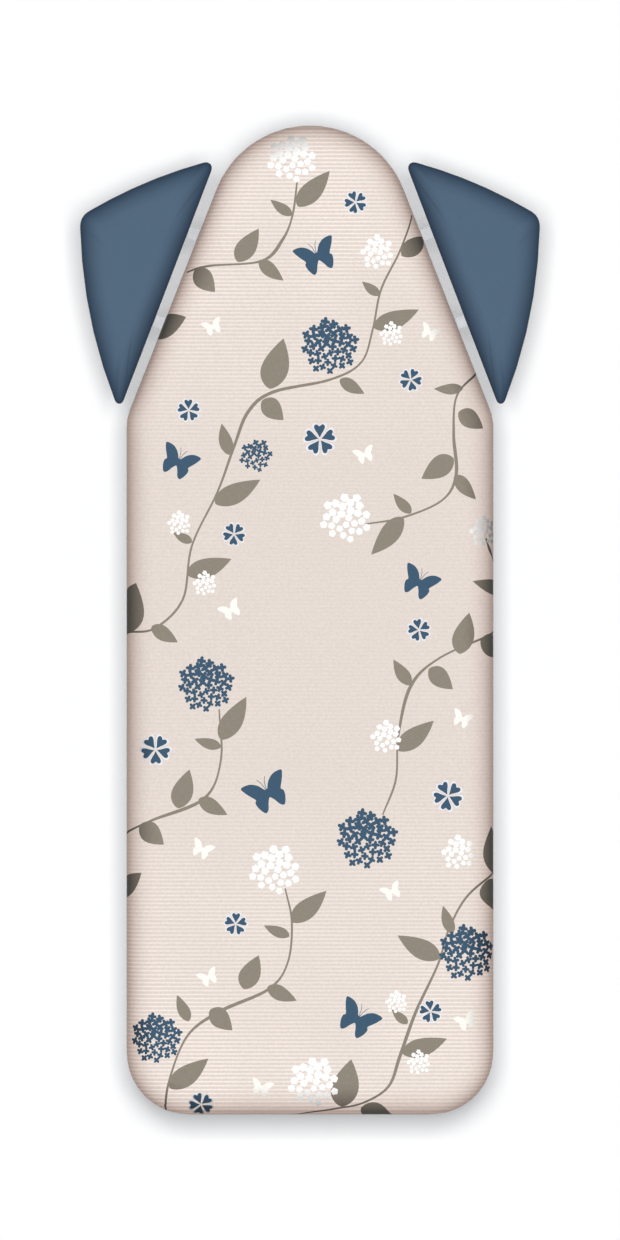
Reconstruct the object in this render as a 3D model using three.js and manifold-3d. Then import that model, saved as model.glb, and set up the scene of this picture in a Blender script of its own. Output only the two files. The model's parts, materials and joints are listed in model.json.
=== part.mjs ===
// A folding ironing board with two drop-down shoulder wings, standing on its crossed legs.
// Millimetres, +Z up, +Y towards the rounded nose, +X to the right.
// The origin is on the floor under the middle of the board.
import * as THREE from 'three';
import { mergeVertices } from 'three/addons/utils/BufferGeometryUtils.js';
import Module from 'manifold-3d';

const wasm = await Module();
wasm.setup();

// ---- driving dimensions ----
const BOARD_TOP = 900;
const HALF_LENGTH = 600;
const HALF_WIDTH = 222.5;
const NOSE_RADIUS = 122;
const NOSE_CENTRE_Y = HALF_LENGTH - NOSE_RADIUS;
const SHOULDER_RADIUS = 50;
const SHOULDER_CENTRE_Y = 235.6;
const REAR_RADIUS = 75;

const SIDES = [['left', -1], ['right', 1]];

// Fineness of round shapes, and how far a cutting tool runs past what it cuts.
const ROUND_SIDES = 24;
const HOLE_SIDES = 14;
const FINE_SIDES = 12;
const HEXAGON = 6;
const PLATE_ARC_STEPS = 10;
const ARM_ARC_STEPS = 6;
const WIRE_ARC_STEPS = 2;
const OVERRUN = 1;

const CLOTH = 1.5;
const GAP = 0.3;
const FOAM = 6;
const FELT = 4;
const PANEL = 1;
const RIM_HEIGHT = 24;
const RIM_WIDTH = 16;
const RIM_WALL = 1.2;
const HEM_WIDTH = 14;
const COVER_ROUND = 6;
const FOAM_INSET = 7;
const STRAP_THICKNESS = 3;

// Levels of the board's layers, each one a gap under the layer above.
const FOAM_TOP = BOARD_TOP - CLOTH - GAP;
const FELT_TOP = FOAM_TOP - FOAM - GAP;
const PANEL_TOP = FELT_TOP - FELT - GAP;
const RIM_TOP = PANEL_TOP - PANEL - GAP;
const RIM_BOTTOM = RIM_TOP - RIM_HEIGHT;
const HEM_TOP = RIM_BOTTOM - GAP;
const HEM_BOTTOM = HEM_TOP - CLOTH;
const RIM_OUTER = CLOTH + GAP;
const RIM_INNER = RIM_OUTER + RIM_WIDTH;
const STRAP_TOP = PANEL_TOP - PANEL - GAP;
const STRAP_BOTTOM = STRAP_TOP - STRAP_THICKNESS;
const BELOW_STRAP = STRAP_BOTTOM - GAP;

// Scissor legs: equal upper arms keep the sliding end on a straight level line.
const PIVOT_Z = 844;
const REAR_PIVOT_Y = -490;
const UPPER_ARM = 500;
const LOWER_ARM = 580;
const LEG_RADIUS = 11;
const TUBE_WALL = 1.3;
const OUTER_LEG_X = 100;
const INNER_LEG_X = 70;
const BRACE_SHARE = 0.72;
const BAR_END_INSET = 2.2;
const FOOT_RADIUS = 11;
const FOOT_CAP_RADIUS = 14;
const FOOT_BAR_HALF = 190;
const LEG_LENGTH = UPPER_ARM + LOWER_ARM;
const LEG_ANGLE = Math.asin((PIVOT_Z - FOOT_CAP_RADIUS) / LEG_LENGTH);
const CROSS_Y = REAR_PIVOT_Y + UPPER_ARM * Math.cos(LEG_ANGLE);
const CROSS_Z = PIVOT_Z - UPPER_ARM * Math.sin(LEG_ANGLE);
const SLIDER_Y = REAR_PIVOT_Y + 2 * UPPER_ARM * Math.cos(LEG_ANGLE);
const FOLDED_SLIDER_Y = REAR_PIVOT_Y + 2 * UPPER_ARM;
const FRONT_FOOT_Y = REAR_PIVOT_Y + LEG_LENGTH * Math.cos(LEG_ANGLE);
const REAR_FOOT_Y = SLIDER_Y - LEG_LENGTH * Math.cos(LEG_ANGLE);
const BOLT_RADIUS = 4;
const BOLT_HOLE_RADIUS = 4.4;

// Sliding bar, its bushes and the two slotted guide plates.
const SLIDER_RADIUS = 8;
const BUSH_RADIUS = 10;
const BUSH_HALF = 5;
const GUIDE_X = 40;
const GUIDE_THICKNESS = 2.5;
const BUSH_CLEARANCE = 0.5;
const SLOT_HALF = BUSH_RADIUS + BUSH_CLEARANCE;
const GUIDE_REAR_Y = 100;
const GUIDE_FRONT_Y = 548;

// Height rack on its release shaft.
const SHAFT_Y = 68;
const SHAFT_Z = 866;
const SHAFT_RADIUS = 4;
const SHAFT_HOLE_RADIUS = 4.4;
const RACK_HALF = 2.5;
const RACK_CLEARANCE = 0.4;
const RACK_TOP = PIVOT_Z - SLIDER_RADIUS - RACK_CLEARANCE;
const RACK_HEIGHT = 20;
const NOTCH_RADIUS = 8.6;
const NOTCH_COUNT = 6;
const LEVER_X = 176;

// Shoulder wings.
const WING_DROP = 5;
const WING_FOAM = 7.5;
const WING_PANEL = 2.2;
const WING_HEM = 10;
const WING_COVER_ROUND = 4;
const WING_FOAM_INSET = CLOTH + 3;
const WING_TOP = BOARD_TOP - WING_DROP;
const WING_FOAM_TOP = WING_TOP - CLOTH - GAP;
const WING_PANEL_TOP = WING_FOAM_TOP - WING_FOAM - GAP;
const WING_PANEL_BOTTOM = WING_PANEL_TOP - WING_PANEL;
const WING_HEM_TOP = WING_PANEL_BOTTOM - GAP;
const WING_HEM_BOTTOM = WING_HEM_TOP - CLOTH;
const WING_AXIS_INSET = 5;
const WING_AXIS_Z = 850;
const WING_HINGE_Y = 383.5;
const WING_ARM_WIDTH = 14;
const WING_ARMS = [
  { where: 'rear', place: -25, reach: 60 },
  { where: 'front', place: 90, reach: 76 },
];
const PIN_RADIUS = 3;
const PIN_HOLE_RADIUS = 3.4;

// ---- materials ----
const paint = (color, roughness = 0.45, metalness = 0.2) =>
  new THREE.MeshStandardMaterial({ color, roughness, metalness });
const legPaint = () => paint(0xdfe1e3);
const zincPlate = () => paint(0xb9bdc2, 0.35, 0.8);
const plastic = () => paint(0x4a5a6e, 0.6, 0);
const clothPrint = () => paint(0xe8ddd5, 0.95, 0);
const clothSlate = () => paint(0x52687f, 0.95, 0);
const foamGrey = () => paint(0xf1ece0, 1, 0);
const feltGrey = () => paint(0xbdb9b2, 1, 0);

// ---- solids ----
function toSolid(geometry) {
  const bare = geometry.clone();
  bare.deleteAttribute('normal');
  bare.deleteAttribute('uv');
  const merged = mergeVertices(bare, 1e-4);
  return new wasm.Manifold(
    new wasm.Mesh({
      numProp: 3,
      vertProperties: new Float32Array(merged.attributes.position.array),
      triVerts: new Uint32Array(merged.index.array),
    }),
  );
}

function toGeometry(solid) {
  const mesh = solid.getMesh();
  const geometry = new THREE.BufferGeometry();
  geometry.setAttribute('position', new THREE.BufferAttribute(new Float32Array(mesh.vertProperties), 3));
  geometry.setIndex(new THREE.BufferAttribute(new Uint32Array(mesh.triVerts), 1));
  geometry.computeVertexNormals();
  return geometry;
}

const cut = (body, ...tools) =>
  toGeometry(tools.reduce((solid, tool) => solid.subtract(toSolid(tool)), toSolid(body)));
const join = (body, ...others) =>
  toGeometry(others.reduce((solid, other) => solid.add(toSolid(other)), toSolid(body)));

function box(x, y, z) {
  return new THREE.BoxGeometry(x[1] - x[0], y[1] - y[0], z[1] - z[0]).translate(
    (x[0] + x[1]) / 2,
    (y[0] + y[1]) / 2,
    (z[0] + z[1]) / 2,
  );
}

// A round bar along X between two x values, centred on (y, z).
function barX(radius, x, y, z, sides = ROUND_SIDES) {
  return new THREE.CylinderGeometry(radius, radius, x[1] - x[0], sides)
    .rotateZ(Math.PI / 2)
    .translate((x[0] + x[1]) / 2, y, z);
}

const squareEdged = (depth, curveSegments) => ({ depth, bevelEnabled: false, curveSegments });

// A range that runs past both of its ends, for a tool that cuts right through.
const longer = (x) => [x[0] - OVERRUN, x[1] + OVERRUN];

// A round bar along X with a round hole through its length.
function hollowBarX(radius, holeRadius, x, y, z) {
  return cut(barX(radius, x, y, z), barX(holeRadius, longer(x), y, z));
}

const roundHole = (x, y, radius) => new THREE.Path().absarc(x, y, radius, 0, 2 * Math.PI, true);

// A flat piece drawn in the YZ plane and given its thickness along X.
function plateYZ(shape, x) {
  const turn = new THREE.Matrix4().makeBasis(
    new THREE.Vector3(0, 1, 0),
    new THREE.Vector3(0, 0, 1),
    new THREE.Vector3(1, 0, 0),
  );
  return new THREE.ExtrudeGeometry(shape, squareEdged(x[1] - x[0], PLATE_ARC_STEPS))
    .applyMatrix4(turn)
    .translate(x[0], 0, 0);
}

// A flat outline given its height along Z, with optional rounded edges.
function slab(shape, z, round = 0) {
  const settings = round
    ? { bevelEnabled: true, bevelSize: round, bevelOffset: -round, bevelThickness: round, bevelSegments: 2 }
    : { bevelEnabled: false };
  return new THREE.ExtrudeGeometry(shape, { ...settings, depth: z[1] - z[0] - 2 * round }).translate(
    0,
    0,
    z[0] + round,
  );
}

function part(name, geometry, material) {
  const mesh = new THREE.Mesh(geometry, material);
  mesh.name = name;
  return mesh;
}

// ---- board outline ----
const SHOULDER_CENTRE_X = HALF_WIDTH - SHOULDER_RADIUS;
const centreRun = Math.hypot(SHOULDER_CENTRE_X, NOSE_CENTRE_Y - SHOULDER_CENTRE_Y);
const centreAngle = Math.atan2(NOSE_CENTRE_Y - SHOULDER_CENTRE_Y, -SHOULDER_CENTRE_X);
// Direction of the taper's outward normal, from the line that touches the shoulder and nose arcs.
const TAPER = centreAngle - Math.acos((SHOULDER_RADIUS - NOSE_RADIUS) / centreRun);

function arc(cx, cy, radius, from, to, steps) {
  return Array.from({ length: steps + 1 }, (_, i) => {
    const angle = from + ((to - from) * i) / steps;
    return new THREE.Vector2(cx + radius * Math.cos(angle), cy + radius * Math.sin(angle));
  });
}

function boardOutline(inset) {
  const right = SHOULDER_CENTRE_X;
  const rearX = HALF_WIDTH - REAR_RADIUS;
  const rearY = REAR_RADIUS - HALF_LENGTH;
  return [
    ...arc(rearX, rearY, REAR_RADIUS - inset, -Math.PI / 2, 0, 7),
    ...arc(right, SHOULDER_CENTRE_Y, SHOULDER_RADIUS - inset, 0, TAPER, 3),
    ...arc(0, NOSE_CENTRE_Y, NOSE_RADIUS - inset, TAPER, Math.PI - TAPER, 20),
    ...arc(-right, SHOULDER_CENTRE_Y, SHOULDER_RADIUS - inset, Math.PI - TAPER, Math.PI, 3),
    ...arc(-rearX, rearY, REAR_RADIUS - inset, Math.PI, 1.5 * Math.PI, 7),
  ];
}

const boardShape = (inset) => new THREE.Shape(boardOutline(inset));

// A cloth skin over the top and sides, with a hem turned in underneath.
// shapeOf gives the outline at an inset.
function wrappedCover(shapeOf, z, hem, round) {
  const square = 2 * round;
  const outside = slab(shapeOf(0), z, round);
  const skirt = slab(shapeOf(0), [z[0], z[0] + square]);
  const floor = z[0] + CLOTH;
  const inside = slab(shapeOf(CLOTH), [floor, z[1] - CLOTH], round - CLOTH);
  const insideSkirt = slab(shapeOf(CLOTH), [floor, floor + square - CLOTH]);
  const mouth = slab(shapeOf(hem), longer([z[0], floor]));
  return cut(join(outside, skirt), join(inside, insideSkirt), mouth);
}

// Sheet-steel top pierced by staggered diamond openings.
function meshPanel() {
  const pitch = { x: 86, y: 40 };
  const diamond = { x: 30, y: 14 };
  const keepIn = { side: 54, rear: 50, nose: 56 };
  const openings = [];
  const rows = Math.floor((2 * HALF_LENGTH - keepIn.rear - keepIn.nose) / pitch.y);
  for (let row = 0; row <= rows; row++) {
    const y = -HALF_LENGTH + keepIn.rear + row * pitch.y;
    const shift = row % 2 ? pitch.x / 2 : 0;
    for (let x = -2 * pitch.x - shift; x <= 2 * pitch.x + shift; x += pitch.x) {
      if (Math.abs(x) > halfWidthAt(y) - keepIn.side) continue;
      const prism = new THREE.CylinderGeometry(1, 1, 4 * PANEL, 4).rotateX(Math.PI / 2);
      openings.push(prism.scale(diamond.x, diamond.y, 1).translate(x, y, PANEL_TOP));
    }
  }
  return cut(slab(boardShape(RIM_OUTER), [PANEL_TOP - PANEL, PANEL_TOP]), ...openings);
}

// Half the board's width at a given distance along it.
function halfWidthAt(y) {
  const tangentY = NOSE_CENTRE_Y + NOSE_RADIUS * Math.sin(TAPER);
  if (y > tangentY) return Math.sqrt(NOSE_RADIUS ** 2 - (y - NOSE_CENTRE_Y) ** 2);
  const taperWidth = (NOSE_RADIUS - (y - NOSE_CENTRE_Y) * Math.sin(TAPER)) / Math.cos(TAPER);
  return Math.min(HALF_WIDTH, taperWidth);
}

// Folded steel channel, open downwards, all the way round under the panel.
function rim() {
  const ring = (outerInset, innerInset, z) => {
    const shape = boardShape(outerInset);
    shape.holes.push(new THREE.Path(boardOutline(innerInset)));
    return slab(shape, z);
  };
  const channel = ring(RIM_OUTER, RIM_INNER, [RIM_BOTTOM, RIM_TOP]);
  const hollowLevels = [RIM_BOTTOM - OVERRUN, RIM_TOP - RIM_WALL];
  const hollow = ring(RIM_OUTER + RIM_WALL, RIM_INNER - RIM_WALL, hollowLevels);
  return cut(channel, hollow);
}

function crossStrap(y) {
  const half = HALF_WIDTH - RIM_INNER - GAP;
  const width = 36;
  return box([-half, half], [y - width / 2, y + width / 2], [STRAP_BOTTOM, STRAP_TOP]);
}

function topFrame() {
  const group = new THREE.Group();
  const cover = wrappedCover(boardShape, [HEM_BOTTOM, BOARD_TOP], HEM_WIDTH, COVER_ROUND);
  const felt = slab(boardShape(RIM_OUTER + 1), [FELT_TOP - FELT, FELT_TOP]);
  const foam = slab(boardShape(FOAM_INSET), [FOAM_TOP - FOAM, FOAM_TOP]);
  group.add(part('top_rim', rim(), legPaint()));
  group.add(part('mesh_panel', meshPanel(), zincPlate()));
  group.add(part('felt_underlay', felt, feltGrey()));
  group.add(part('foam_pad', foam, foamGrey()));
  group.add(part('board_cover', cover, clothPrint()));
  group.add(part('rear_cross_strap', crossStrap(REAR_PIVOT_Y), zincPlate()));
  group.add(part('middle_cross_strap', crossStrap(SHAFT_Y), zincPlate()));
  return group;
}

// ---- leg gear under the board ----
const EAR_THICKNESS = 3;
const EAR_OFFSET = LEG_RADIUS + 1.5;

// Upside-down U that hangs from the rear strap and straddles one leg tube.
function rearHingeBracket(side) {
  const earRadius = 13;
  const baseHalf = 17;
  const top = BELOW_STRAP;
  const ear = new THREE.Shape();
  ear.moveTo(REAR_PIVOT_Y - baseHalf, top);
  ear.lineTo(REAR_PIVOT_Y - earRadius, PIVOT_Z);
  ear.absarc(REAR_PIVOT_Y, PIVOT_Z, earRadius, Math.PI, 2 * Math.PI, false);
  ear.lineTo(REAR_PIVOT_Y + baseHalf, top);
  ear.holes.push(roundHole(REAR_PIVOT_Y, PIVOT_Z, BOLT_HOLE_RADIUS));
  const inner = side * OUTER_LEG_X - EAR_OFFSET;
  const outer = side * OUTER_LEG_X + EAR_OFFSET;
  const bridge = box(
    [inner - EAR_THICKNESS, outer + EAR_THICKNESS],
    [REAR_PIVOT_Y - baseHalf, REAR_PIVOT_Y + baseHalf],
    [top - EAR_THICKNESS, top],
  );
  return join(
    bridge,
    plateYZ(ear, [inner - EAR_THICKNESS, inner]),
    plateYZ(ear, [outer, outer + EAR_THICKNESS]),
  );
}

// A bolt along X with a hexagonal head at one end and a nut at the other.
function throughBolt(x, y, z, side) {
  const headLength = 4;
  const headRadius = 7.5;
  const head = side > 0 ? [x[1], x[1] + headLength] : [x[0] - headLength, x[0]];
  const nut = side > 0 ? [x[0] - headLength, x[0]] : [x[1], x[1] + headLength];
  return join(
    barX(BOLT_RADIUS, longer(x), y, z, HOLE_SIDES),
    barX(headRadius, head, y, z, FINE_SIDES),
    barX(headRadius, nut, y, z, HEXAGON),
  );
}

// Side plate with a long round-ended slot for the sliding bar, and a flange along its top.
function guidePlate(side) {
  const top = STRAP_TOP;
  const edgeBelowSlot = 7;
  const bottom = PIVOT_Z - SLOT_HALF - edgeBelowSlot;
  const slant = 12;
  const endRoom = 2;
  const plate = new THREE.Shape();
  plate.moveTo(GUIDE_REAR_Y, top);
  plate.lineTo(GUIDE_REAR_Y + slant, bottom);
  plate.lineTo(GUIDE_FRONT_Y - slant, bottom);
  plate.lineTo(GUIDE_FRONT_Y, top);
  const slot = new THREE.Path();
  const slotRear = SLIDER_Y - endRoom;
  const slotFront = FOLDED_SLIDER_Y + endRoom;
  slot.absarc(slotRear, PIVOT_Z, SLOT_HALF, -Math.PI / 2, Math.PI / 2, true);
  slot.absarc(slotFront, PIVOT_Z, SLOT_HALF, Math.PI / 2, -Math.PI / 2, true);
  plate.holes.push(slot);
  const near = side * GUIDE_X;
  const flangeWidth = 18;
  const flange = side > 0 ? [near - flangeWidth, near] : [near, near + flangeWidth];
  const half = GUIDE_THICKNESS / 2;
  return join(
    plateYZ(plate, [near - half, near + half]),
    box(flange, [GUIDE_REAR_Y, GUIDE_FRONT_Y], [top - GUIDE_THICKNESS, top]),
  );
}

// Notched bar that hangs from the release shaft and holds the sliding bar at each height.
function heightRack() {
  const bottom = RACK_TOP - RACK_HEIGHT;
  const eye = 9;
  const corner = 6;
  const throat = 14;
  const end = GUIDE_FRONT_Y - 8;
  const rack = new THREE.Shape();
  rack.moveTo(SHAFT_Y - eye, SHAFT_Z);
  rack.lineTo(SHAFT_Y - eye, bottom + corner);
  rack.lineTo(SHAFT_Y - eye + corner, bottom);
  rack.lineTo(end, bottom);
  rack.lineTo(end, RACK_TOP);
  const spacing = (FOLDED_SLIDER_Y - SLIDER_Y) / NOTCH_COUNT;
  const depth = 5;
  for (let i = NOTCH_COUNT - 1; i >= 0; i--) {
    const y = SLIDER_Y + i * spacing;
    rack.lineTo(y + NOTCH_RADIUS + depth, RACK_TOP);
    rack.lineTo(y + NOTCH_RADIUS, RACK_TOP - depth);
    rack.lineTo(y - NOTCH_RADIUS, RACK_TOP - depth);
    rack.lineTo(y - NOTCH_RADIUS, RACK_TOP);
  }
  rack.lineTo(SHAFT_Y + eye + throat, RACK_TOP);
  rack.lineTo(SHAFT_Y + eye, RACK_TOP + throat);
  rack.absarc(SHAFT_Y, SHAFT_Z, eye, 0, Math.PI, false);
  rack.holes.push(roundHole(SHAFT_Y, SHAFT_Z, SHAFT_RADIUS + GAP));
  return plateYZ(rack, [-RACK_HALF, RACK_HALF]);
}

// Plate that hangs from the middle strap and carries the release shaft.
function shaftBracket(x) {
  const top = BELOW_STRAP;
  const radius = 9;
  const flange = 14;
  const ear = new THREE.Shape();
  ear.moveTo(SHAFT_Y - flange, top);
  ear.lineTo(SHAFT_Y - radius, SHAFT_Z);
  ear.absarc(SHAFT_Y, SHAFT_Z, radius, Math.PI, 2 * Math.PI, false);
  ear.lineTo(SHAFT_Y + flange, top);
  ear.holes.push(roundHole(SHAFT_Y, SHAFT_Z, SHAFT_HOLE_RADIUS));
  const thickness = 2.5;
  return join(
    plateYZ(ear, [x, x + thickness]),
    box([x, x + flange], [SHAFT_Y - flange, SHAFT_Y + flange], [top - thickness, top]),
  );
}

// Lever arm on the end of the shaft, reaching back to a finger grip near the board's edge.
const LEVER_REACH = 112;
const LEVER_DROP = 14;
const LEVER_THICKNESS = 4;
const LEVER_HALF = 5;
const LEVER_END_Y = SHAFT_Y - LEVER_REACH;
const LEVER_END_Z = SHAFT_Z - LEVER_DROP;

function leverArm() {
  const eye = 8;
  const neckY = SHAFT_Y - 20;
  const arm = new THREE.Shape();
  arm.absarc(SHAFT_Y, SHAFT_Z, eye, -Math.PI / 2, Math.PI / 2, false);
  arm.lineTo(neckY, SHAFT_Z + LEVER_HALF - 1);
  arm.lineTo(LEVER_END_Y, LEVER_END_Z + LEVER_HALF);
  arm.lineTo(LEVER_END_Y, LEVER_END_Z - LEVER_HALF);
  arm.lineTo(neckY, SHAFT_Z - LEVER_HALF);
  arm.holes.push(roundHole(SHAFT_Y, SHAFT_Z, SHAFT_RADIUS + GAP));
  return plateYZ(arm, [LEVER_X, LEVER_X + LEVER_THICKNESS]);
}

// A moulded grip, deeper towards the fingers, with an open socket for the lever arm.
function leverGrip() {
  const root = LEVER_END_Y + 44;
  const waist = LEVER_END_Y - 10;
  const tip = LEVER_END_Y - 66;
  const z = LEVER_END_Z;
  const grip = new THREE.Shape();
  grip.moveTo(root, z + 11);
  grip.quadraticCurveTo(waist, z + 6, tip, z + 1);
  grip.quadraticCurveTo(tip - 8, z - 5, tip, z - 10);
  grip.quadraticCurveTo(waist, z - 12, root, z - 4);
  const body = plateYZ(grip, [LEVER_X - 10, LEVER_X + 18]);
  const socketWidth = [LEVER_X - GAP, LEVER_X + LEVER_THICKNESS + GAP];
  const socket = box(socketWidth, [LEVER_END_Y - GAP, root + 6], [z - 14, z + 20]);
  return cut(body, socket);
}

// Coil spring that holds the rack up towards the sliding bar.
function rackSpring() {
  const turns = 5;
  const radius = 5;
  const wireRadius = 0.8;
  const stepsPerTurn = 8;
  const endRoom = 2;
  const top = PANEL_TOP - PANEL - endRoom;
  const bottom = RACK_TOP + endRoom;
  class Coil extends THREE.Curve {
    getPoint(t, target = new THREE.Vector3()) {
      const angle = 2 * Math.PI * turns * t;
      return target.set(radius * Math.cos(angle), radius * Math.sin(angle), bottom + (top - bottom) * t);
    }
  }
  const wire = new THREE.Shape().absarc(0, 0, wireRadius, 0, 2 * Math.PI, false);
  const settings = { steps: turns * stepsPerTurn, extrudePath: new Coil(), curveSegments: WIRE_ARC_STEPS };
  return new THREE.ExtrudeGeometry(wire, settings).translate(0, GUIDE_FRONT_Y - 16, 0);
}

function releaseGear() {
  const group = new THREE.Group();
  const shaft = barX(SHAFT_RADIUS, [-14, LEVER_X + 8], SHAFT_Y, SHAFT_Z, HOLE_SIDES);
  group.add(part('height_rack', heightRack(), zincPlate()));
  group.add(part('release_shaft', shaft, zincPlate()));
  group.add(part('release_lever_arm', leverArm(), zincPlate()));
  group.add(part('release_lever_grip', leverGrip(), plastic()));
  group.add(part('rack_spring', rackSpring(), zincPlate()));
  group.add(part('shaft_bracket_inner', shaftBracket(8), zincPlate()));
  group.add(part('shaft_bracket_outer', shaftBracket(LEVER_X - 22), zincPlate()));
  return group;
}

// ---- legs ----
// Each leg is drawn along its own +Y from its upper pivot and then leant to the rest angle.
const COPE = FOOT_RADIUS + GAP;

function barY(radius, x, y) {
  const bar = new THREE.CylinderGeometry(radius, radius, y[1] - y[0], ROUND_SIDES);
  return bar.translate(x, (y[0] + y[1]) / 2, 0);
}

// One straight leg tube at x, coped over its foot bar, with cross holes where bolts pass.
function legTube(x, upperEnd, holesAt) {
  const reach = [upperEnd, LEG_LENGTH];
  const acrossTube = longer([x - LEG_RADIUS, x + LEG_RADIUS]);
  const footCope = barX(COPE, acrossTube, LEG_LENGTH, 0);
  const holes = holesAt.map((y) => barX(BOLT_HOLE_RADIUS, acrossTube, y, 0, HOLE_SIDES));
  return cut(barY(LEG_RADIUS, x, reach), barY(LEG_RADIUS - TUBE_WALL, x, longer(reach)), footCope, ...holes);
}

function leanLeg(pivotY, angle) {
  const leg = new THREE.Group();
  leg.position.set(0, pivotY, PIVOT_Z);
  leg.rotation.x = angle;
  return leg;
}

// A moulded cap with a flat sole, pushed over the end of a foot bar.
function footCap(side) {
  const soleHalf = 8;
  const soleEase = 0.35;
  const soleCorner = Math.atan2(-FOOT_CAP_RADIUS, soleHalf) + soleEase;
  const cap = new THREE.Shape();
  cap.moveTo(-soleHalf, -FOOT_CAP_RADIUS);
  cap.lineTo(soleHalf, -FOOT_CAP_RADIUS);
  cap.absarc(0, 0, FOOT_CAP_RADIUS + 1, soleCorner, Math.PI - soleCorner, false);
  const skin = 12;
  const sleeve = 26;
  const start = FOOT_BAR_HALF - sleeve;
  const body = plateYZ(cap, [start, FOOT_BAR_HALF + skin]);
  const socket = barX(COPE, [start - OVERRUN, FOOT_BAR_HALF + GAP], 0, 0);
  const solid = cut(body, socket);
  if (side < 0) solid.rotateZ(Math.PI);
  return solid;
}

function footSet(group, name, y) {
  const foot = new THREE.Group();
  foot.position.set(0, y, FOOT_CAP_RADIUS);
  const bar = hollowBarX(FOOT_RADIUS, FOOT_RADIUS - TUBE_WALL, [-FOOT_BAR_HALF, FOOT_BAR_HALF], 0, 0);
  foot.add(part(`${name}_foot_bar`, bar, legPaint()));
  foot.add(part(`${name}_foot_cap_left`, footCap(-1), plastic()));
  foot.add(part(`${name}_foot_cap_right`, footCap(1), plastic()));
  group.add(foot);
}

// Outer leg: two tubes hung from the rear brackets.
function outerLeg() {
  const group = new THREE.Group();
  const leg = leanLeg(REAR_PIVOT_Y, -LEG_ANGLE);
  for (const [word, side] of SIDES) {
    const tube = legTube(side * OUTER_LEG_X, -14, [0, UPPER_ARM]);
    leg.add(part(`outer_leg_tube_${word}`, tube, legPaint()));
  }
  group.add(leg);
  footSet(group, 'front', FRONT_FOOT_Y);
  return group;
}

// Inner leg: two tubes joined at the top by the sliding bar and lower down by a brace.
function innerLeg() {
  const group = new THREE.Group();
  const leg = leanLeg(SLIDER_Y, Math.PI + LEG_ANGLE);
  const braceAt = UPPER_ARM + BRACE_SHARE * LOWER_ARM;
  const braceRadius = 7;
  const barHalf = INNER_LEG_X - BAR_END_INSET;
  const copeReach = [-LEG_LENGTH, LEG_LENGTH];
  const copes = SIDES.map(([, side]) => barY(LEG_RADIUS + GAP, side * INNER_LEG_X, copeReach));
  const slidingBar = cut(barX(SLIDER_RADIUS, [-barHalf, barHalf], 0, 0), ...copes);
  const brace = cut(barX(braceRadius, [-barHalf, barHalf], braceAt, 0), ...copes);
  leg.add(part('sliding_bar', slidingBar, zincPlate()));
  leg.add(part('inner_leg_brace', brace, legPaint()));
  for (const [word, side] of SIDES) {
    const tube = legTube(side * INNER_LEG_X, -13, [UPPER_ARM]);
    const bushReach = [side * GUIDE_X - BUSH_HALF, side * GUIDE_X + BUSH_HALF];
    const bush = hollowBarX(BUSH_RADIUS, SLIDER_RADIUS + GAP, bushReach, 0, 0);
    leg.add(part(`inner_leg_tube_${word}`, tube, legPaint()));
    leg.add(part(`slider_bush_${word}`, bush, plastic()));
  }
  group.add(leg);
  footSet(group, 'rear', REAR_FOOT_Y);
  return group;
}

// Bolt through both leg tubes of one side where they cross, with a spacer between the tubes.
function crossPivot(word, side) {
  const spacerRadius = 9;
  const inner = side * (INNER_LEG_X - LEG_RADIUS - GAP);
  const outer = side * (OUTER_LEG_X + LEG_RADIUS + GAP);
  const bolt = throughBolt([Math.min(inner, outer), Math.max(inner, outer)], CROSS_Y, CROSS_Z, side);
  const between = [INNER_LEG_X + LEG_RADIUS + GAP, OUTER_LEG_X - LEG_RADIUS - GAP];
  const spacerReach = side > 0 ? between : [-between[1], -between[0]];
  const spacer = hollowBarX(spacerRadius, BOLT_HOLE_RADIUS, spacerReach, CROSS_Y, CROSS_Z);
  return [part(`cross_bolt_${word}`, bolt, zincPlate()), part(`cross_spacer_${word}`, spacer, plastic())];
}

// Bracket and bolt that carry one outer leg tube.
function rearHinge(word, side) {
  const half = EAR_OFFSET + EAR_THICKNESS + GAP;
  const middle = side * OUTER_LEG_X;
  const bolt = throughBolt([middle - half, middle + half], REAR_PIVOT_Y, PIVOT_Z, side);
  return [
    part(`rear_hinge_bolt_${word}`, bolt, zincPlate()),
    part(`rear_hinge_bracket_${word}`, rearHingeBracket(side), zincPlate()),
  ];
}

function legPivots() {
  const group = new THREE.Group();
  for (const [word, side] of SIDES) {
    group.add(...crossPivot(word, side), ...rearHinge(word, side));
    group.add(part(`guide_plate_${word}`, guidePlate(side), zincPlate()));
  }
  return group;
}

// ---- shoulder wings ----
// The right wing's outline, counterclockwise: three corner circles joined by arcs that touch both neighbours.
// The edge beside the board is an arc of so large a radius that it is straight.
const STRAIGHT = 40000;
const WING_CORNERS = [
  { centre: new THREE.Vector2(125.5, 549), radius: 7, nextEdgeRadius: STRAIGHT },
  { centre: new THREE.Vector2(231.5, 266.7), radius: 5.2, nextEdgeRadius: 602 },
  { centre: new THREE.Vector2(260, 479), radius: 19, nextEdgeRadius: 560 },
];
const WING_MIDDLE = new THREE.Vector2(209, 453);
const WING_INRADIUS = 51;

// The centre of the arc of the given radius that touches both corner circles from inside.
function touchingCentre(a, b, edgeRadius) {
  const reachA = edgeRadius - a.radius;
  const reachB = edgeRadius - b.radius;
  const span = b.centre.clone().sub(a.centre);
  const length = span.length();
  const along = (length ** 2 + reachA ** 2 - reachB ** 2) / (2 * length);
  const inward = new THREE.Vector2(-span.y, span.x).divideScalar(length);
  return a.centre
    .clone()
    .addScaledVector(span, along / length)
    .addScaledVector(inward, Math.sqrt(reachA ** 2 - along ** 2));
}

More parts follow.
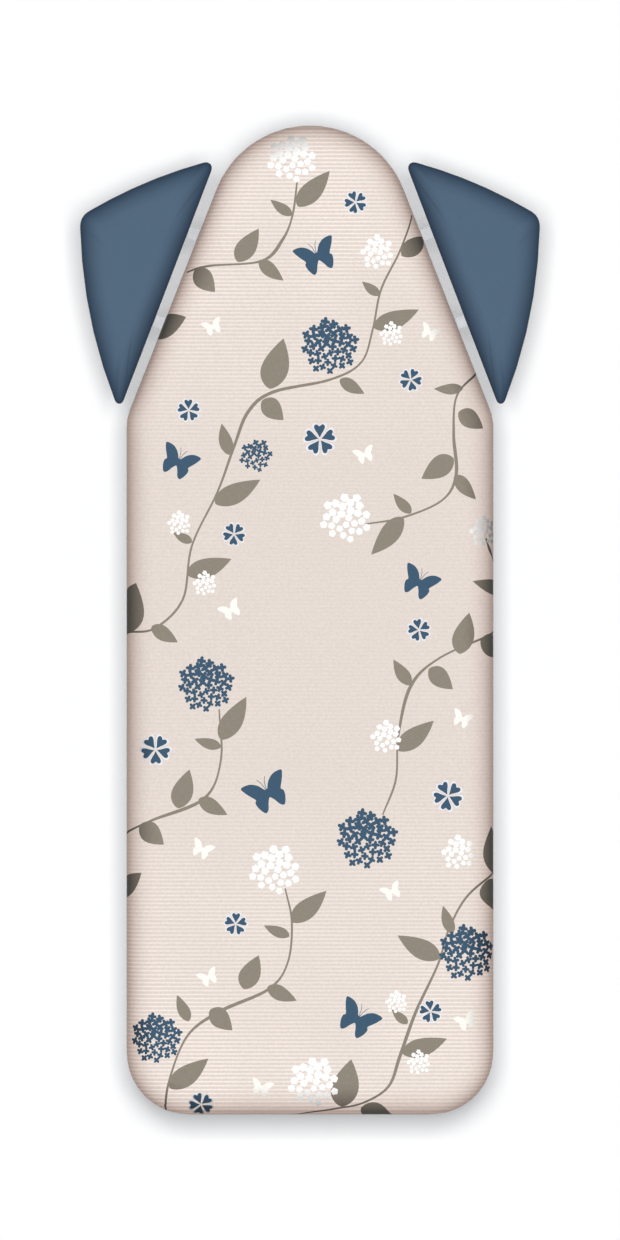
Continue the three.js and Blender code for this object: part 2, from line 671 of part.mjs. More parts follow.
function wingOutline() {
  const edges = WING_CORNERS.map((corner, i) => {
    const next = WING_CORNERS[(i + 1) % 3];
    const centre = touchingCentre(corner, next, corner.nextEdgeRadius);
    const start = corner.centre.clone().sub(centre).angle();
    const end = next.centre.clone().sub(centre).angle();
    return { centre, start, end: end < start ? end + 2 * Math.PI : end };
  });
  return WING_CORNERS.flatMap((corner, i) => {
    const edge = edges[i];
    const from = edges[(i + 2) % 3].end % (2 * Math.PI);
    const to = edge.start < from ? edge.start + 2 * Math.PI : edge.start;
    const bend = arc(corner.centre.x, corner.centre.y, corner.radius, from, to, 4);
    const run = arc(edge.centre.x, edge.centre.y, corner.nextEdgeRadius, edge.start, edge.end, 5);
    return [...bend, ...run.slice(1, -1)];
  });
}

// The outline drawn in towards its middle by about the inset, so that its corners stay round.
function wingShape(inset, side) {
  const scale = 1 - inset / WING_INRADIUS;
  const points = wingOutline().map((point) => point.sub(WING_MIDDLE).multiplyScalar(scale).add(WING_MIDDLE));
  return new THREE.Shape(points.map((point) => new THREE.Vector2(side * point.x, point.y)));
}

// Frame of the hinge line: X points out from the board's edge, Y runs towards the nose, Z is up.
function hingeFrame(side, place) {
  const group = new THREE.Group();
  const edgeX = halfWidthAt(WING_HINGE_Y);
  const run = place * Math.cos(TAPER);
  group.position.set(side * (edgeX - place * Math.sin(TAPER)), WING_HINGE_Y + run, 0);
  group.rotation.z = side > 0 ? TAPER : Math.PI - TAPER;
  return group;
}

// Draws in the outward-and-up plane and gives the piece its width along the hinge line.
function plateAlongHinge(shape, y) {
  return new THREE.ExtrudeGeometry(shape, squareEdged(y[1] - y[0], ARM_ARC_STEPS))
    .rotateX(Math.PI / 2)
    .translate(0, y[1], 0);
}

function wingBracket() {
  const back = -RIM_INNER - GAP;
  const thickness = 2;
  const earGap = WING_ARM_WIDTH / 2 + 1;
  const earWidth = 3;
  const radius = 6;
  const ear = new THREE.Shape();
  const top = STRAP_BOTTOM - thickness;
  ear.moveTo(back - thickness, top);
  ear.lineTo(back - thickness, WING_AXIS_Z - radius);
  ear.lineTo(-WING_AXIS_INSET, WING_AXIS_Z - radius);
  ear.absarc(-WING_AXIS_INSET, WING_AXIS_Z, radius, -Math.PI / 2, Math.PI / 2, false);
  ear.lineTo(back, WING_AXIS_Z + radius);
  ear.lineTo(back, top);
  ear.holes.push(roundHole(-WING_AXIS_INSET, WING_AXIS_Z, PIN_HOLE_RADIUS));
  const outer = earGap + earWidth;
  return join(
    box([back - thickness, back], [-outer, outer], [WING_AXIS_Z - radius, top]),
    plateAlongHinge(ear, [-outer, -earGap]),
    plateAlongHinge(ear, [earGap, outer]),
  );
}

function wingArm(reach) {
  const half = 2.5;
  const radius = 5.5;
  const mouth = 0.5;
  const rise = 25;
  const top = WING_HEM_BOTTOM - GAP;
  const arm = new THREE.Shape();
  arm.absarc(-WING_AXIS_INSET, WING_AXIS_Z, radius, mouth, 2 * Math.PI - mouth, false);
  arm.lineTo(rise + 2 * half, WING_AXIS_Z - half);
  arm.lineTo(rise + 2 * half, top - 2 * half);
  arm.lineTo(reach, top - 2 * half);
  arm.lineTo(reach, top);
  arm.lineTo(rise, top);
  arm.lineTo(rise, WING_AXIS_Z + half);
  arm.holes.push(roundHole(-WING_AXIS_INSET, WING_AXIS_Z, PIN_HOLE_RADIUS));
  const width = [-WING_ARM_WIDTH / 2, WING_ARM_WIDTH / 2];
  const landing = box([rise + WING_HEM, reach], width, [top - 1, WING_PANEL_BOTTOM - GAP]);
  return join(plateAlongHinge(arm, width), landing);
}

function wingPin() {
  const half = WING_ARM_WIDTH / 2 + 6;
  const headRadius = 5;
  const head = new THREE.CylinderGeometry(headRadius, headRadius, 2, FINE_SIDES).translate(0, half + GAP, 0);
  const shank = new THREE.CylinderGeometry(PIN_RADIUS, PIN_RADIUS, 2 * half, FINE_SIDES);
  return join(shank, head).translate(-WING_AXIS_INSET, 0, WING_AXIS_Z);
}

function wing(word, side) {
  const group = new THREE.Group();
  const panel = slab(wingShape(CLOTH + GAP, side), [WING_PANEL_BOTTOM, WING_PANEL_TOP]);
  const foam = slab(wingShape(WING_FOAM_INSET, side), [WING_FOAM_TOP - WING_FOAM, WING_FOAM_TOP]);
  const shapeOf = (inset) => wingShape(inset, side);
  const cover = wrappedCover(shapeOf, [WING_HEM_BOTTOM, WING_TOP], WING_HEM, WING_COVER_ROUND);
  group.add(part(`wing_panel_${word}`, panel, zincPlate()));
  group.add(part(`wing_pad_${word}`, foam, foamGrey()));
  group.add(part(`wing_cover_${word}`, cover, clothSlate()));
  WING_ARMS.forEach(({ where, place, reach }) => {
    const frame = hingeFrame(side, place);
    frame.add(part(`wing_bracket_${where}_${word}`, wingBracket(), zincPlate()));
    frame.add(part(`wing_arm_${where}_${word}`, wingArm(reach), legPaint()));
    frame.add(part(`wing_pin_${where}_${word}`, wingPin(), zincPlate()));
    group.add(frame);
  });
  return group;
}

const ironingBoard = new THREE.Group();
ironingBoard.add(topFrame(), releaseGear(), legPivots(), outerLeg(), innerLeg());
ironingBoard.add(...SIDES.map(([word, side]) => wing(word, side)));

export default ironingBoard;
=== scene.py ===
"""Looks of the folding ironing board, in metres: cover and print, shoulder wings, pads, metals."""

import json
import math

import bmesh
import bpy
import numpy as np
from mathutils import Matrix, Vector, geometry


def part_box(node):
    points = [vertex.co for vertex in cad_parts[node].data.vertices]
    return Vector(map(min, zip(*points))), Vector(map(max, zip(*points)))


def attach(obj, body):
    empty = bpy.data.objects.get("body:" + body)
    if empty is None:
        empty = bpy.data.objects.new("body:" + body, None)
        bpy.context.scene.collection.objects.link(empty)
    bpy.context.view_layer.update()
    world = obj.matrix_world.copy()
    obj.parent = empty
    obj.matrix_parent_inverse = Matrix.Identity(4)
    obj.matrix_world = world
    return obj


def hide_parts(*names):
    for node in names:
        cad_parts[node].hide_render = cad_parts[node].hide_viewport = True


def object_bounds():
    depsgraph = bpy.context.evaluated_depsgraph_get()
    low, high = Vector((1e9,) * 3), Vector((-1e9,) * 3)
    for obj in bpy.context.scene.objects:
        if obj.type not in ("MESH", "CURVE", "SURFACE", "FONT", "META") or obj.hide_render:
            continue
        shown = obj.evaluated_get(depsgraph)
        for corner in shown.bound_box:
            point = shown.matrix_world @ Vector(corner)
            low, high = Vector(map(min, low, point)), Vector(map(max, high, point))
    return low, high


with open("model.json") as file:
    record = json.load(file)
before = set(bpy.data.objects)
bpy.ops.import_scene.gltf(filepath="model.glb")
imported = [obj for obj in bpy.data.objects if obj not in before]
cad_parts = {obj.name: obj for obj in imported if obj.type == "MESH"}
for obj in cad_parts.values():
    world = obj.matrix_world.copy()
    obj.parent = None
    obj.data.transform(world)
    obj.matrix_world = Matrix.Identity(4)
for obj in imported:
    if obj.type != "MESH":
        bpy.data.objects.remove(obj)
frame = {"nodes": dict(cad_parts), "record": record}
CAD_BOX = [[float(value) for value in corner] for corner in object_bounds()]

# ---- places and sizes from the frame ----
COVER_LOW, COVER_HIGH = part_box("board_cover")
TOP = COVER_HIGH.z
RIM_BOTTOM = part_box("top_rim")[0].z
FLOOR = CAD_BOX[0][2]

# ---- the cover's edge: the cloth rolls over it, hangs as a skirt and turns under the rim ----
ROLL_ACROSS = 0.022
ROLL_DROP = 0.017
ROLL_POINTS = 25
HEM_TURN = 0.002
HEM_WIDTH = 0.016
CLOTH_GAP = 0.0007
LAYER_GAP = 0.0015
# Painted shade along the cover's rolled edge: where it starts inside the roll, how far down the skirt it
# fades and by how much, and how steeply it rises.
EDGE_SHADE_START = 0.012
SKIRT_SHADE_END = 0.012
SKIRT_FADE = 0.75
EDGE_SHADE_POWER = 1.7

# ---- sewing ----
ELASTIC_RADIUS = 0.0012
COVER_RUFFLE = 0.3
WING_RUFFLE = 0.25
SEAM_INSET = 0.005
TRIM_PITCH = 0.004
STITCH_PITCH = 0.005
STITCH_LENGTH = 0.0034
STITCH_RADIUS = 0.0004

# ---- studio ----
FLOOR_GAP = 0.0003
FLOOR_SIZE = 80.0
LAMP_AT = (0, 0.06, 8.4)
LAMP_SIZE = 0.37
LAMP_POWER = 442
FILL_COLOUR = (0.97, 0.98, 1.0, 1)
FILL_STRENGTH = 0.42
FRAME_HEIGHT = 1.5016
CAMERA_LENS = 200
SENSOR = 36
VIEW_DEPTH = 60


# ---- colours, as seen in daylight ----
def srgb(red, green, blue):
    def linear(value):
        value /= 255
        return value / 12.92 if value <= 0.04045 else ((value + 0.055) / 1.055) ** 2.4

    return (linear(red), linear(green), linear(blue), 1.0)


COTTON = srgb(218, 207, 199)
TAUPE = srgb(139, 130, 118)
INK_BLUE = srgb(60, 87, 109)
PALE_LINE = srgb(228, 229, 233)
WHITE_INK = srgb(250, 249, 247)
CREAM_INK = srgb(246, 243, 236)
SLATE = srgb(76, 97, 117)
PLAIN = (1.0, 1.0, 1.0, 1.0)
# Painted shade along the cover's rolled edge: the bare cotton turns to this factor there.
PAINTED_EDGE_SHADE = (0.62, 0.53, 0.5, 1.0)
# Painted shade on the print near the rolled edge, deeper and reached sooner than on the bare cotton.
PRINT_PAINTED_EDGE_SHADE = (0.2, 0.205, 0.205, 1.0)
PRINT_ONSET = 0.55
# Painted shade along the wing cloth's rounded edge.
WING_PAINTED_EDGE_SHADE = (0.2, 0.28, 0.36, 1.0)


# ---- mesh and node helpers ----
def mesh_piece(name, points, faces, material, smooth=True):
    mesh = bpy.data.meshes.new(name)
    mesh.from_pydata([tuple(point) for point in points], [], [tuple(face) for face in faces])
    mesh.polygons.foreach_set("use_smooth", [smooth] * len(mesh.polygons))
    mesh.materials.append(material)
    mesh.update()
    piece = bpy.data.objects.new(name, mesh)
    bpy.context.scene.collection.objects.link(piece)
    return piece


def resample(loop, pitch):
    """A closed loop with points evenly spaced at about the pitch."""
    closed = np.vstack((loop, loop[:1]))
    run = np.concatenate(([0], np.cumsum(np.linalg.norm(np.diff(closed, axis=0), axis=1))))
    count = max(int(round(run[-1] / pitch)), 8)
    at = np.arange(count) * run[-1] / count
    columns = [np.interp(at, run, closed[:, axis]) for axis in range(closed.shape[1])]
    return np.column_stack(columns)


DRAW_IN = 0.5
LET_OUT = -0.52


def rounded(loop, passes):
    """The loop without its facets: each pass draws it in and then lets it out, so its size stays."""
    for share in (DRAW_IN, LET_OUT) * passes:
        between = (np.roll(loop, 1, axis=0) + np.roll(loop, -1, axis=0)) / 2
        loop = loop + share * (between - loop)
    return loop


def enclosed_area(loop):
    """The area inside a loop, negative where the loop runs clockwise."""
    following = np.roll(loop, -1, axis=0)
    return (loop[:, 0] * following[:, 1] - loop[:, 1] * following[:, 0]).sum() / 2


def counterclockwise(loop):
    return loop if enclosed_area(loop) > 0 else loop[::-1]


def node_outline(node, pitch, passes):
    """The plan outline of a CAD node."""
    points = [vertex.co.xy for vertex in frame["nodes"][node].data.vertices]
    loop = np.array([points[i] for i in geometry.convex_hull_2d(points)], float)
    return rounded(resample(counterclockwise(loop), pitch), passes)


ROW_SPACING = 0.87


def staggered_field(low, high, pitch):
    """Evenly spread plan points in staggered rows."""
    xs = np.arange(low[0], high[0], pitch)
    ys = np.arange(low[1], high[1], pitch * ROW_SPACING)
    return [(x + (pitch / 2 if row % 2 else 0), y) for row, y in enumerate(ys) for x in xs]


def level(loop, z):
    """A plan loop at a height."""
    return np.column_stack((loop, np.full(len(loop), z)))


def outward_normals(loop):
    along = np.roll(loop, -1, axis=0) - np.roll(loop, 1, axis=0)
    along /= np.linalg.norm(along, axis=1, keepdims=True)
    return np.column_stack((along[:, 1], -along[:, 0]))


def new_material(name):
    material = bpy.data.materials.new(name)
    material.use_nodes = True
    return material, material.node_tree, material.node_tree.nodes["Principled BSDF"]


def add_node(tree, kind, inputs=(), **settings):
    node = tree.nodes.new(kind)
    for name, value in settings.items():
        setattr(node, name, value)
    for socket, value in dict(inputs).items():
        if isinstance(value, bpy.types.NodeSocket):
            tree.links.new(value, node.inputs[socket])
        else:
            node.inputs[socket].default_value = value
    return node


def place(tree):
    return add_node(tree, "ShaderNodeTexCoord").outputs["Object"]


def maths(tree, operation, first, second=0.0):
    return add_node(tree, "ShaderNodeMath", {0: first, 1: second}, operation=operation).outputs[0]


def times(tree, first, second):
    return maths(tree, "MULTIPLY", first, second)


def noise(tree, scale, detail=3.0, where=None):
    inputs = {"Vector": where or place(tree), "Scale": scale, "Detail": detail}
    return add_node(tree, "ShaderNodeTexNoise", inputs).outputs[0]


def bands(tree, pitch, direction, where=None, wobble=0.0):
    """A sine ridge every pitch metres along one axis."""
    inputs = {
        "Vector": where or place(tree),
        "Scale": 2 * math.pi / (20 * pitch),
        "Distortion": wobble,
        "Detail": 1.0,
        "Detail Scale": 2.0,
    }
    return add_node(tree, "ShaderNodeTexWave", inputs, bands_direction=direction).outputs[1]


def ramp(tree, fac, low, high, start=0.0, end=1.0):
    """From low to high as the factor goes from start to end."""
    inputs = {0: fac, 1: start, 2: end, 3: low, 4: high}
    return add_node(tree, "ShaderNodeMapRange", inputs).outputs[0]


def solid(tree, colour):
    """One colour as a socket, for the tones to vary."""
    base = add_node(tree, "ShaderNodeRGB")
    base.outputs[0].default_value = colour
    return base.outputs[0]


def set_shader(shader, values):
    for name, value in values.items():
        shader.inputs[name].default_value = value


def tint(tree, colour, amount):
    """The colour made lighter or darker by a factor."""
    scaled = add_node(tree, "ShaderNodeVectorMath", {0: colour, 3: amount}, operation="SCALE")
    return scaled.outputs[0]


def blended(tree, share, first, second):
    """The first colour at share 0, the second at share 1."""
    inputs = {0: share, 6: first, 7: second}
    return add_node(tree, "ShaderNodeMix", inputs, data_type="RGBA").outputs[2]


def cell_distance(tree, scale):
    inputs = {"Vector": place(tree), "Scale": scale}
    return add_node(tree, "ShaderNodeTexVoronoi", inputs).outputs["Distance"]


def bump(tree, height, distance, strength=1.0, below=None):
    inputs = {"Height": height, "Distance": distance, "Strength": strength}
    if below:
        inputs["Normal"] = below
    return add_node(tree, "ShaderNodeBump", inputs).outputs[0]


# ---- cloth materials ----
THREAD = 0.0011
RIB = 0.0048
RIB_SHARPNESS = 2.2
# The ribs are faintest within RIB_FADE[0] of the middle of the board's length and full beyond RIB_FADE[1].
FAINTEST_RIB = 0.16
RIB_FADE = (0.2, 0.42)
FIBRE_BUMP = 0.00012
RIB_BUMP = 0.0003


def weave_height(tree):
    """Plain weave: warp and weft threads with slubs."""
    warp = bands(tree, THREAD, "X", wobble=0.4)
    weft = bands(tree, THREAD, "Y", wobble=0.4)
    slubs = noise(tree, 700.0)
    return maths(tree, "ADD", times(tree, warp, weft), slubs)


def with_painted_edge_shade(tree, colour, painted_shade, onset=1.0):
    """The colour with painted shade: it turns to its product with the shade factor as the piece's edge
    attribute rises from 0 to 1.

    An onset below 1 makes it turn sooner.
    """
    nearness = add_node(tree, "ShaderNodeAttribute", attribute_name="edge").outputs["Fac"]
    # Painted shade: the share of the shade factor, rising towards the edge.
    wear_and_shade = maths(tree, "POWER", nearness, onset)
    edge = blended(tree, wear_and_shade, PLAIN, painted_shade)
    return add_node(tree, "ShaderNodeVectorMath", {0: colour, 1: edge}, operation="MULTIPLY").outputs[0]


def printed_cotton():
    """Natural cotton with fine cross ribs that come and go along the board; the print is the ink attribute.

    Painted shade darkens the printed cloth more than the bare cotton towards the rolled edge.
    """
    material, tree, shader = new_material("printed_cotton")
    ink = add_node(tree, "ShaderNodeAttribute", attribute_name="ink")
    bare = ink.outputs["Alpha"]
    along = add_node(tree, "ShaderNodeSeparateXYZ", {0: place(tree)}).outputs["Y"]
    patches = ramp(tree, noise(tree, 6.0, 1.0), low=0.5, high=1.0, start=0.35, end=0.6)
    towards_ends = ramp(tree, maths(tree, "ABSOLUTE", along), FAINTEST_RIB, 1.0, *RIB_FADE)
    strength = times(tree, towards_ends, patches)
    ribs = maths(tree, "POWER", bands(tree, RIB, "Y", wobble=0.1), RIB_SHARPNESS)
    rib_depth = times(tree, times(tree, ribs, strength), bare)
    rib_tone = ramp(tree, rib_depth, low=0.965, high=1.27)
    threads = ramp(tree, weave_height(tree), low=0.95, high=1.03, start=0.2, end=1.6)
    mottle = ramp(tree, noise(tree, 330.0, 2.0), low=0.95, high=1.04, start=0.3, end=0.7)
    tone = times(tree, times(tree, rib_tone, threads), mottle)
    # Painted shade at the edge, darker on the print than on the bare cotton.
    painted_shade = blended(tree, bare, PRINT_PAINTED_EDGE_SHADE, PAINTED_EDGE_SHADE)
    dye_and_painted_shade = with_painted_edge_shade(tree, ink.outputs["Color"], painted_shade, ramp(tree, bare, low=PRINT_ONSET, high=1.0))
    tree.links.new(tint(tree, dye_and_painted_shade, tone), shader.inputs["Base Color"])
    fine = bump(tree, weave_height(tree), distance=FIBRE_BUMP, strength=0.6)
    ribbed = bump(tree, rib_depth, distance=RIB_BUMP, strength=0.6, below=fine)
    tree.links.new(ribbed, shader.inputs["Normal"])
    set_shader(shader, {"Roughness": 0.93, "Specular IOR Level": 0.18, "Sheen Weight": 0.08})
    return material


def plain_cloth(name, colour, thread=0.0009, painted_shade=None):
    material, tree, shader = new_material(name)
    warp = bands(tree, thread, "X", wobble=0.5)
    weft = bands(tree, thread, "Y", wobble=0.5)
    threads = maths(tree, "ADD", times(tree, warp, weft), noise(tree, 900.0))
    mottle = ramp(tree, noise(tree, 25.0), low=0.965, high=1.035)
    tone = times(tree, ramp(tree, threads, low=0.93, high=1.06, start=0.2, end=1.6), mottle)
    base = solid(tree, colour)
    # Painted shade along the edge, when a shade factor is given.
    dye_and_painted_shade = with_painted_edge_shade(tree, base, painted_shade) if painted_shade else base
    tree.links.new(tint(tree, dye_and_painted_shade, tone), shader.inputs["Base Color"])
    tree.links.new(bump(tree, threads, distance=FIBRE_BUMP, strength=0.7), shader.inputs["Normal"])
    set_shader(shader, {"Roughness": 0.92, "Specular IOR Level": 0.2, "Sheen Weight": 0.1})
    return material


def soft_block(name, colour, grain, depth):
    """Felt or foam: a matt mass of fibres or cells."""
    material, tree, shader = new_material(name)
    cells = cell_distance(tree, grain)
    fuzz = noise(tree, grain * 2.5, 5.0)
    cell_tone = ramp(tree, cells, low=0.86, high=1.08, start=0.0, end=0.8)
    tone = times(tree, cell_tone, ramp(tree, fuzz, low=0.85, high=1.12))
    tree.links.new(tint(tree, solid(tree, colour), tone), shader.inputs["Base Color"])
    rough = bump(tree, maths(tree, "ADD", cells, fuzz), distance=depth, strength=0.9)
    tree.links.new(rough, shader.inputs["Normal"])
    set_shader(shader, {"Roughness": 1.0, "Specular IOR Level": 0.1})
    return material


# ---- metal and plastic materials ----
EASED_EDGE = 0.0012


def edge_wear(tree):
    """1 on sharp edges, where the rounded normal turns away from the true one, broken up by noise."""
    eased = add_node(tree, "ShaderNodeBevel", {"Radius": EASED_EDGE}, samples=4).outputs[0]
    true = add_node(tree, "ShaderNodeNewGeometry").outputs["True Normal"]
    product = add_node(tree, "ShaderNodeVectorMath", {0: eased, 1: true}, operation="DOT_PRODUCT")
    same = product.outputs["Value"]
    wear_and_shade = ramp(tree, same, low=1.0, high=0.0, start=0.8, end=0.93)
    patches = ramp(tree, noise(tree, 240.0), low=0.0, high=0.7, start=0.45, end=0.6)
    return times(tree, wear_and_shade, patches)


def powder_coat():
    material, tree, shader = new_material("powder_coat")
    base = solid(tree, srgb(170, 173, 178))
    tone = ramp(tree, noise(tree, 12.0), low=0.97, high=1.02)
    scuffs = ramp(tree, noise(tree, 120.0, 5.0), low=1.0, high=0.93, start=0.66, end=0.75)
    painted = tint(tree, base, times(tree, tone, scuffs))
    tree.links.new(blended(tree, edge_wear(tree), painted, srgb(150, 150, 150)), shader.inputs["Base Color"])
    orange_peel = bump(tree, noise(tree, 1200.0, 2.0), distance=0.00005, strength=0.4)
    tree.links.new(orange_peel, shader.inputs["Normal"])
    tree.links.new(ramp(tree, noise(tree, 90.0), low=0.36, high=0.5), shader.inputs["Roughness"])
    set_shader(shader, {"Coat Weight": 0.15})
    return material


def zinc_plate():
    material, tree, shader = new_material("zinc_plate")
    base = solid(tree, srgb(196, 199, 203))
    spangle = cell_distance(tree, 160.0)
    clouding = ramp(tree, noise(tree, 30.0), low=0.9, high=1.05)
    tone = times(tree, ramp(tree, spangle, low=0.9, high=1.05), clouding)
    tree.links.new(tint(tree, base, tone), shader.inputs["Base Color"])
    tree.links.new(ramp(tree, noise(tree, 400.0, 4.0), low=0.28, high=0.5), shader.inputs["Roughness"])
    crystals = bump(tree, noise(tree, 1500.0, 2.0), distance=0.00006, strength=0.5)
    tree.links.new(crystals, shader.inputs["Normal"])
    set_shader(shader, {"Metallic": 0.9})
    return material


def moulded_plastic():
    material, tree, shader = new_material("moulded_plastic")
    base = solid(tree, srgb(66, 80, 96))
    grain = noise(tree, 1800.0, 2.0)
    clouding = ramp(tree, noise(tree, 40.0), low=0.95, high=1.05)
    tone = times(tree, ramp(tree, grain, low=0.93, high=1.07), clouding)
    tree.links.new(tint(tree, base, tone), shader.inputs["Base Color"])
    tree.links.new(bump(tree, grain, distance=0.0001, strength=0.5), shader.inputs["Normal"])
    tree.links.new(ramp(tree, noise(tree, 120.0), low=0.5, high=0.66), shader.inputs["Roughness"])
    return material


FINISHES = {
    "leg_paint": powder_coat(),
    "zinc": zinc_plate(),
    "plastic": moulded_plastic(),
    "foam": soft_block("open_foam", srgb(240, 232, 214), 900.0, 0.0005),
    "felt": soft_block("needled_felt", srgb(186, 182, 174), 1400.0, 0.0006),
    "print_cloth": printed_cotton(),
    # The wing cloth, with painted shade along its edge.
    "slate_cloth": plain_cloth("slate_cotton", SLATE, painted_shade=WING_PAINTED_EDGE_SHADE),
}
ELASTIC = plain_cloth("hem_elastic", srgb(222, 216, 208), thread=0.0016)
THREAD_LINE = plain_cloth("sewing_thread", srgb(205, 196, 186), thread=0.0006)


def finish_frame():
    """Each CAD node gets the detailed finish of its slot."""
    for entry in frame["record"]["subparts"]:
        piece = frame["nodes"][entry["node"]]
        for material_slot in piece.material_slots:
            material_slot.material = FINISHES[entry["material_slot"]]


# ---- printed motifs: each is a closed outline in the flat cloth, with its ink ----
LONGEST_SIDE = 0.003


def subdivided(outline):
    """The outline with more points on its long sides, so that it follows the cloth round the board's edge."""
    sides = []
    for start, end in zip(outline, np.roll(outline, -1, axis=0)):
        count = math.ceil(np.linalg.norm(end - start) / LONGEST_SIDE)
        sides.append(start + (end - start) * np.arange(count)[:, None] / max(count, 1))
    return np.vstack(sides)


class Print:
    """Outlines in the order they were printed; a later one lies over an earlier one."""

    def __init__(self):
        self.shapes = []

    def stamp(self, outline, ink):
        self.shapes.append((subdivided(counterclockwise(np.asarray(outline, float))), ink))


def turned(shape, angle, size, at):
    cos, sin = math.cos(angle), math.sin(angle)
    return np.asarray(shape) @ np.array([[cos, sin], [-sin, cos]]) * size + np.asarray(at)


def smooth_path(points, steps):
    """A curve through the points, Catmull-Rom."""
    points = np.asarray(points, float)
    padded = np.vstack((2 * points[0] - points[1], points, 2 * points[-1] - points[-2]))
    path = []
    for a, b, c, d in zip(padded, padded[1:], padded[2:], padded[3:]):
        for t in np.arange(steps) / steps:
            square = (2 * a - 5 * b + 4 * c - d) * t**2
            cube = (3 * b - a - 3 * c + d) * t**3
            path.append(0.5 * (2 * b + (c - a) * t + square + cube))
    return np.array([*path, points[-1]])


LEAF_STEPS = 14
LEAF_BEND = 0.05
THIN_SHARE = 0.8
FULL_SHARE = 1.2


def leaf_shape(breadth):
    """A leaf from its stalk at (0, 0) to its tip at (1, 0), with a round base and one fuller side."""
    along = np.linspace(0, 1, LEAF_STEPS) ** 1.5
    half = breadth / 2 * np.sin(math.pi * along**0.72) ** 0.9
    bend = LEAF_BEND * np.sin(math.pi * along)
    thin_side = np.column_stack((along, bend + THIN_SHARE * half))
    full_side = np.column_stack((along, bend - FULL_SHARE * half))
    return np.vstack((thin_side, full_side[-2:0:-1]))


def mirrored(half):
    """A closed outline from one half that runs from tip to tail beside the X axis."""
    return np.vstack((half, half[-2:0:-1] * (1, -1)))


def heart_petal():
    """A petal from its point near the flower's middle to its notched rim."""
    side = [(0.1, 0.0), (0.38, 0.15), (0.68, 0.33), (0.9, 0.36), (1.0, 0.2), (0.86, 0.0)]
    return mirrored(smooth_path(side, 3))


def floret(lobes, depth, steps):
    angles = np.arange(lobes * steps) * 2 * math.pi / (lobes * steps)
    radius = 1 - depth + depth * np.abs(np.cos(lobes * angles / 2))
    return np.column_stack((radius * np.cos(angles), radius * np.sin(angles)))


def butterfly():
    """Both wings as one outline with its head towards +Y, about one unit across."""
    fore_wing = [
        (0.03, 0.1), (0.14, 0.26), (0.3, 0.36), (0.5, 0.36), (0.47, 0.24), (0.4, 0.12), (0.31, -0.02),
    ]
    hind_wing = [(0.35, -0.08), (0.33, -0.22), (0.24, -0.38), (0.15, -0.34), (0.08, -0.2), (0.015, -0.1)]
    half = smooth_path(fore_wing + hind_wing, 3)
    return np.vstack((half, half[::-1] * (-1, 1)))


BUTTERFLY = butterfly()
PETAL = heart_petal()
ROUND_FLORET = floret(5, 0.2, 4)
BLUE_FLORET = floret(4, 0.5, 4)
GOLDEN_TURN = math.pi * (3 - math.sqrt(5))


STEM_HALF_WIDTH = 0.0009
STEM_SWELL = 0.0012
STEM_STEPS = 9


def stamp_stem(print_, points):
    """A stem that thickens and thins along its way."""
    path = smooth_path(points, STEM_STEPS)
    along = np.gradient(path, axis=0)
    along /= np.linalg.norm(along, axis=1, keepdims=True)
    across = np.column_stack((-along[:, 1], along[:, 0]))
    share = np.linspace(0, 1, len(path))
    unevenness = 0.65 + 0.35 * np.sin(15 * share)
    half = STEM_HALF_WIDTH + STEM_SWELL * np.sin(math.pi * share) * unevenness
    print_.stamp(np.vstack((path + across * half[:, None], (path - across * half[:, None])[::-1])), TAUPE)


def stamp_leaf(print_, stalk, tip, breadth):
    stalk, tip = np.array(stalk), np.array(tip)
    reach = tip - stalk
    shape = leaf_shape(breadth) * (1, 1 if reach[0] < 0 else -1)
    print_.stamp(turned(shape, math.atan2(reach[1], reach[0]), np.linalg.norm(reach), stalk), TAUPE)


HEAD_FILL = 0.92
FLORET_VARIETY = 0.12


def stamp_head(print_, at, radius, florets, shape, floret_size, ink):
    """A round head of florets laid out as a sunflower's seeds are."""
    for i in range(florets):
        reach = radius * HEAD_FILL * math.sqrt((i + 0.5) / florets)
        angle = i * GOLDEN_TURN
        size = radius * floret_size * (1 + FLORET_VARIETY * math.sin(2.4 * i))
        centre = (at[0] + reach * math.cos(angle), at[1] + reach * math.sin(angle))
        print_.stamp(turned(shape, angle * 1.7, size, centre), ink)


PETAL_OUTLINE = (1.16, 1.34)
PETAL_OUTLINE_SHIFT = (0.06, 0)


def stamp_blossom(print_, at, radius, angle):
    """Five petals, each on a slightly larger pale one that shows as its outline."""
    turns = [angle + i * 2 * math.pi / 5 for i in range(5)]
    for turn in turns:
        print_.stamp(turned(PETAL * PETAL_OUTLINE - PETAL_OUTLINE_SHIFT, turn, radius, at), PALE_LINE)
    for turn in turns:
        print_.stamp(turned(PETAL, turn, radius, at), INK_BLUE)


def stamp_butterfly(print_, at, span, angle, ink):
    print_.stamp(turned(BUTTERFLY, math.radians(angle), span, at), ink)


def stamp_feelers(print_, at, span, angle, ink):
    for side in (-1, 1):
        feeler = smooth_path([(0.01 * side, 0.1), (0.04 * side, 0.26), (0.1 * side, 0.38)], 3)
        outline = np.vstack((feeler - (0.007, 0), (feeler + (0.007, 0))[::-1]))
        print_.stamp(turned(outline, math.radians(angle), span, at), ink)


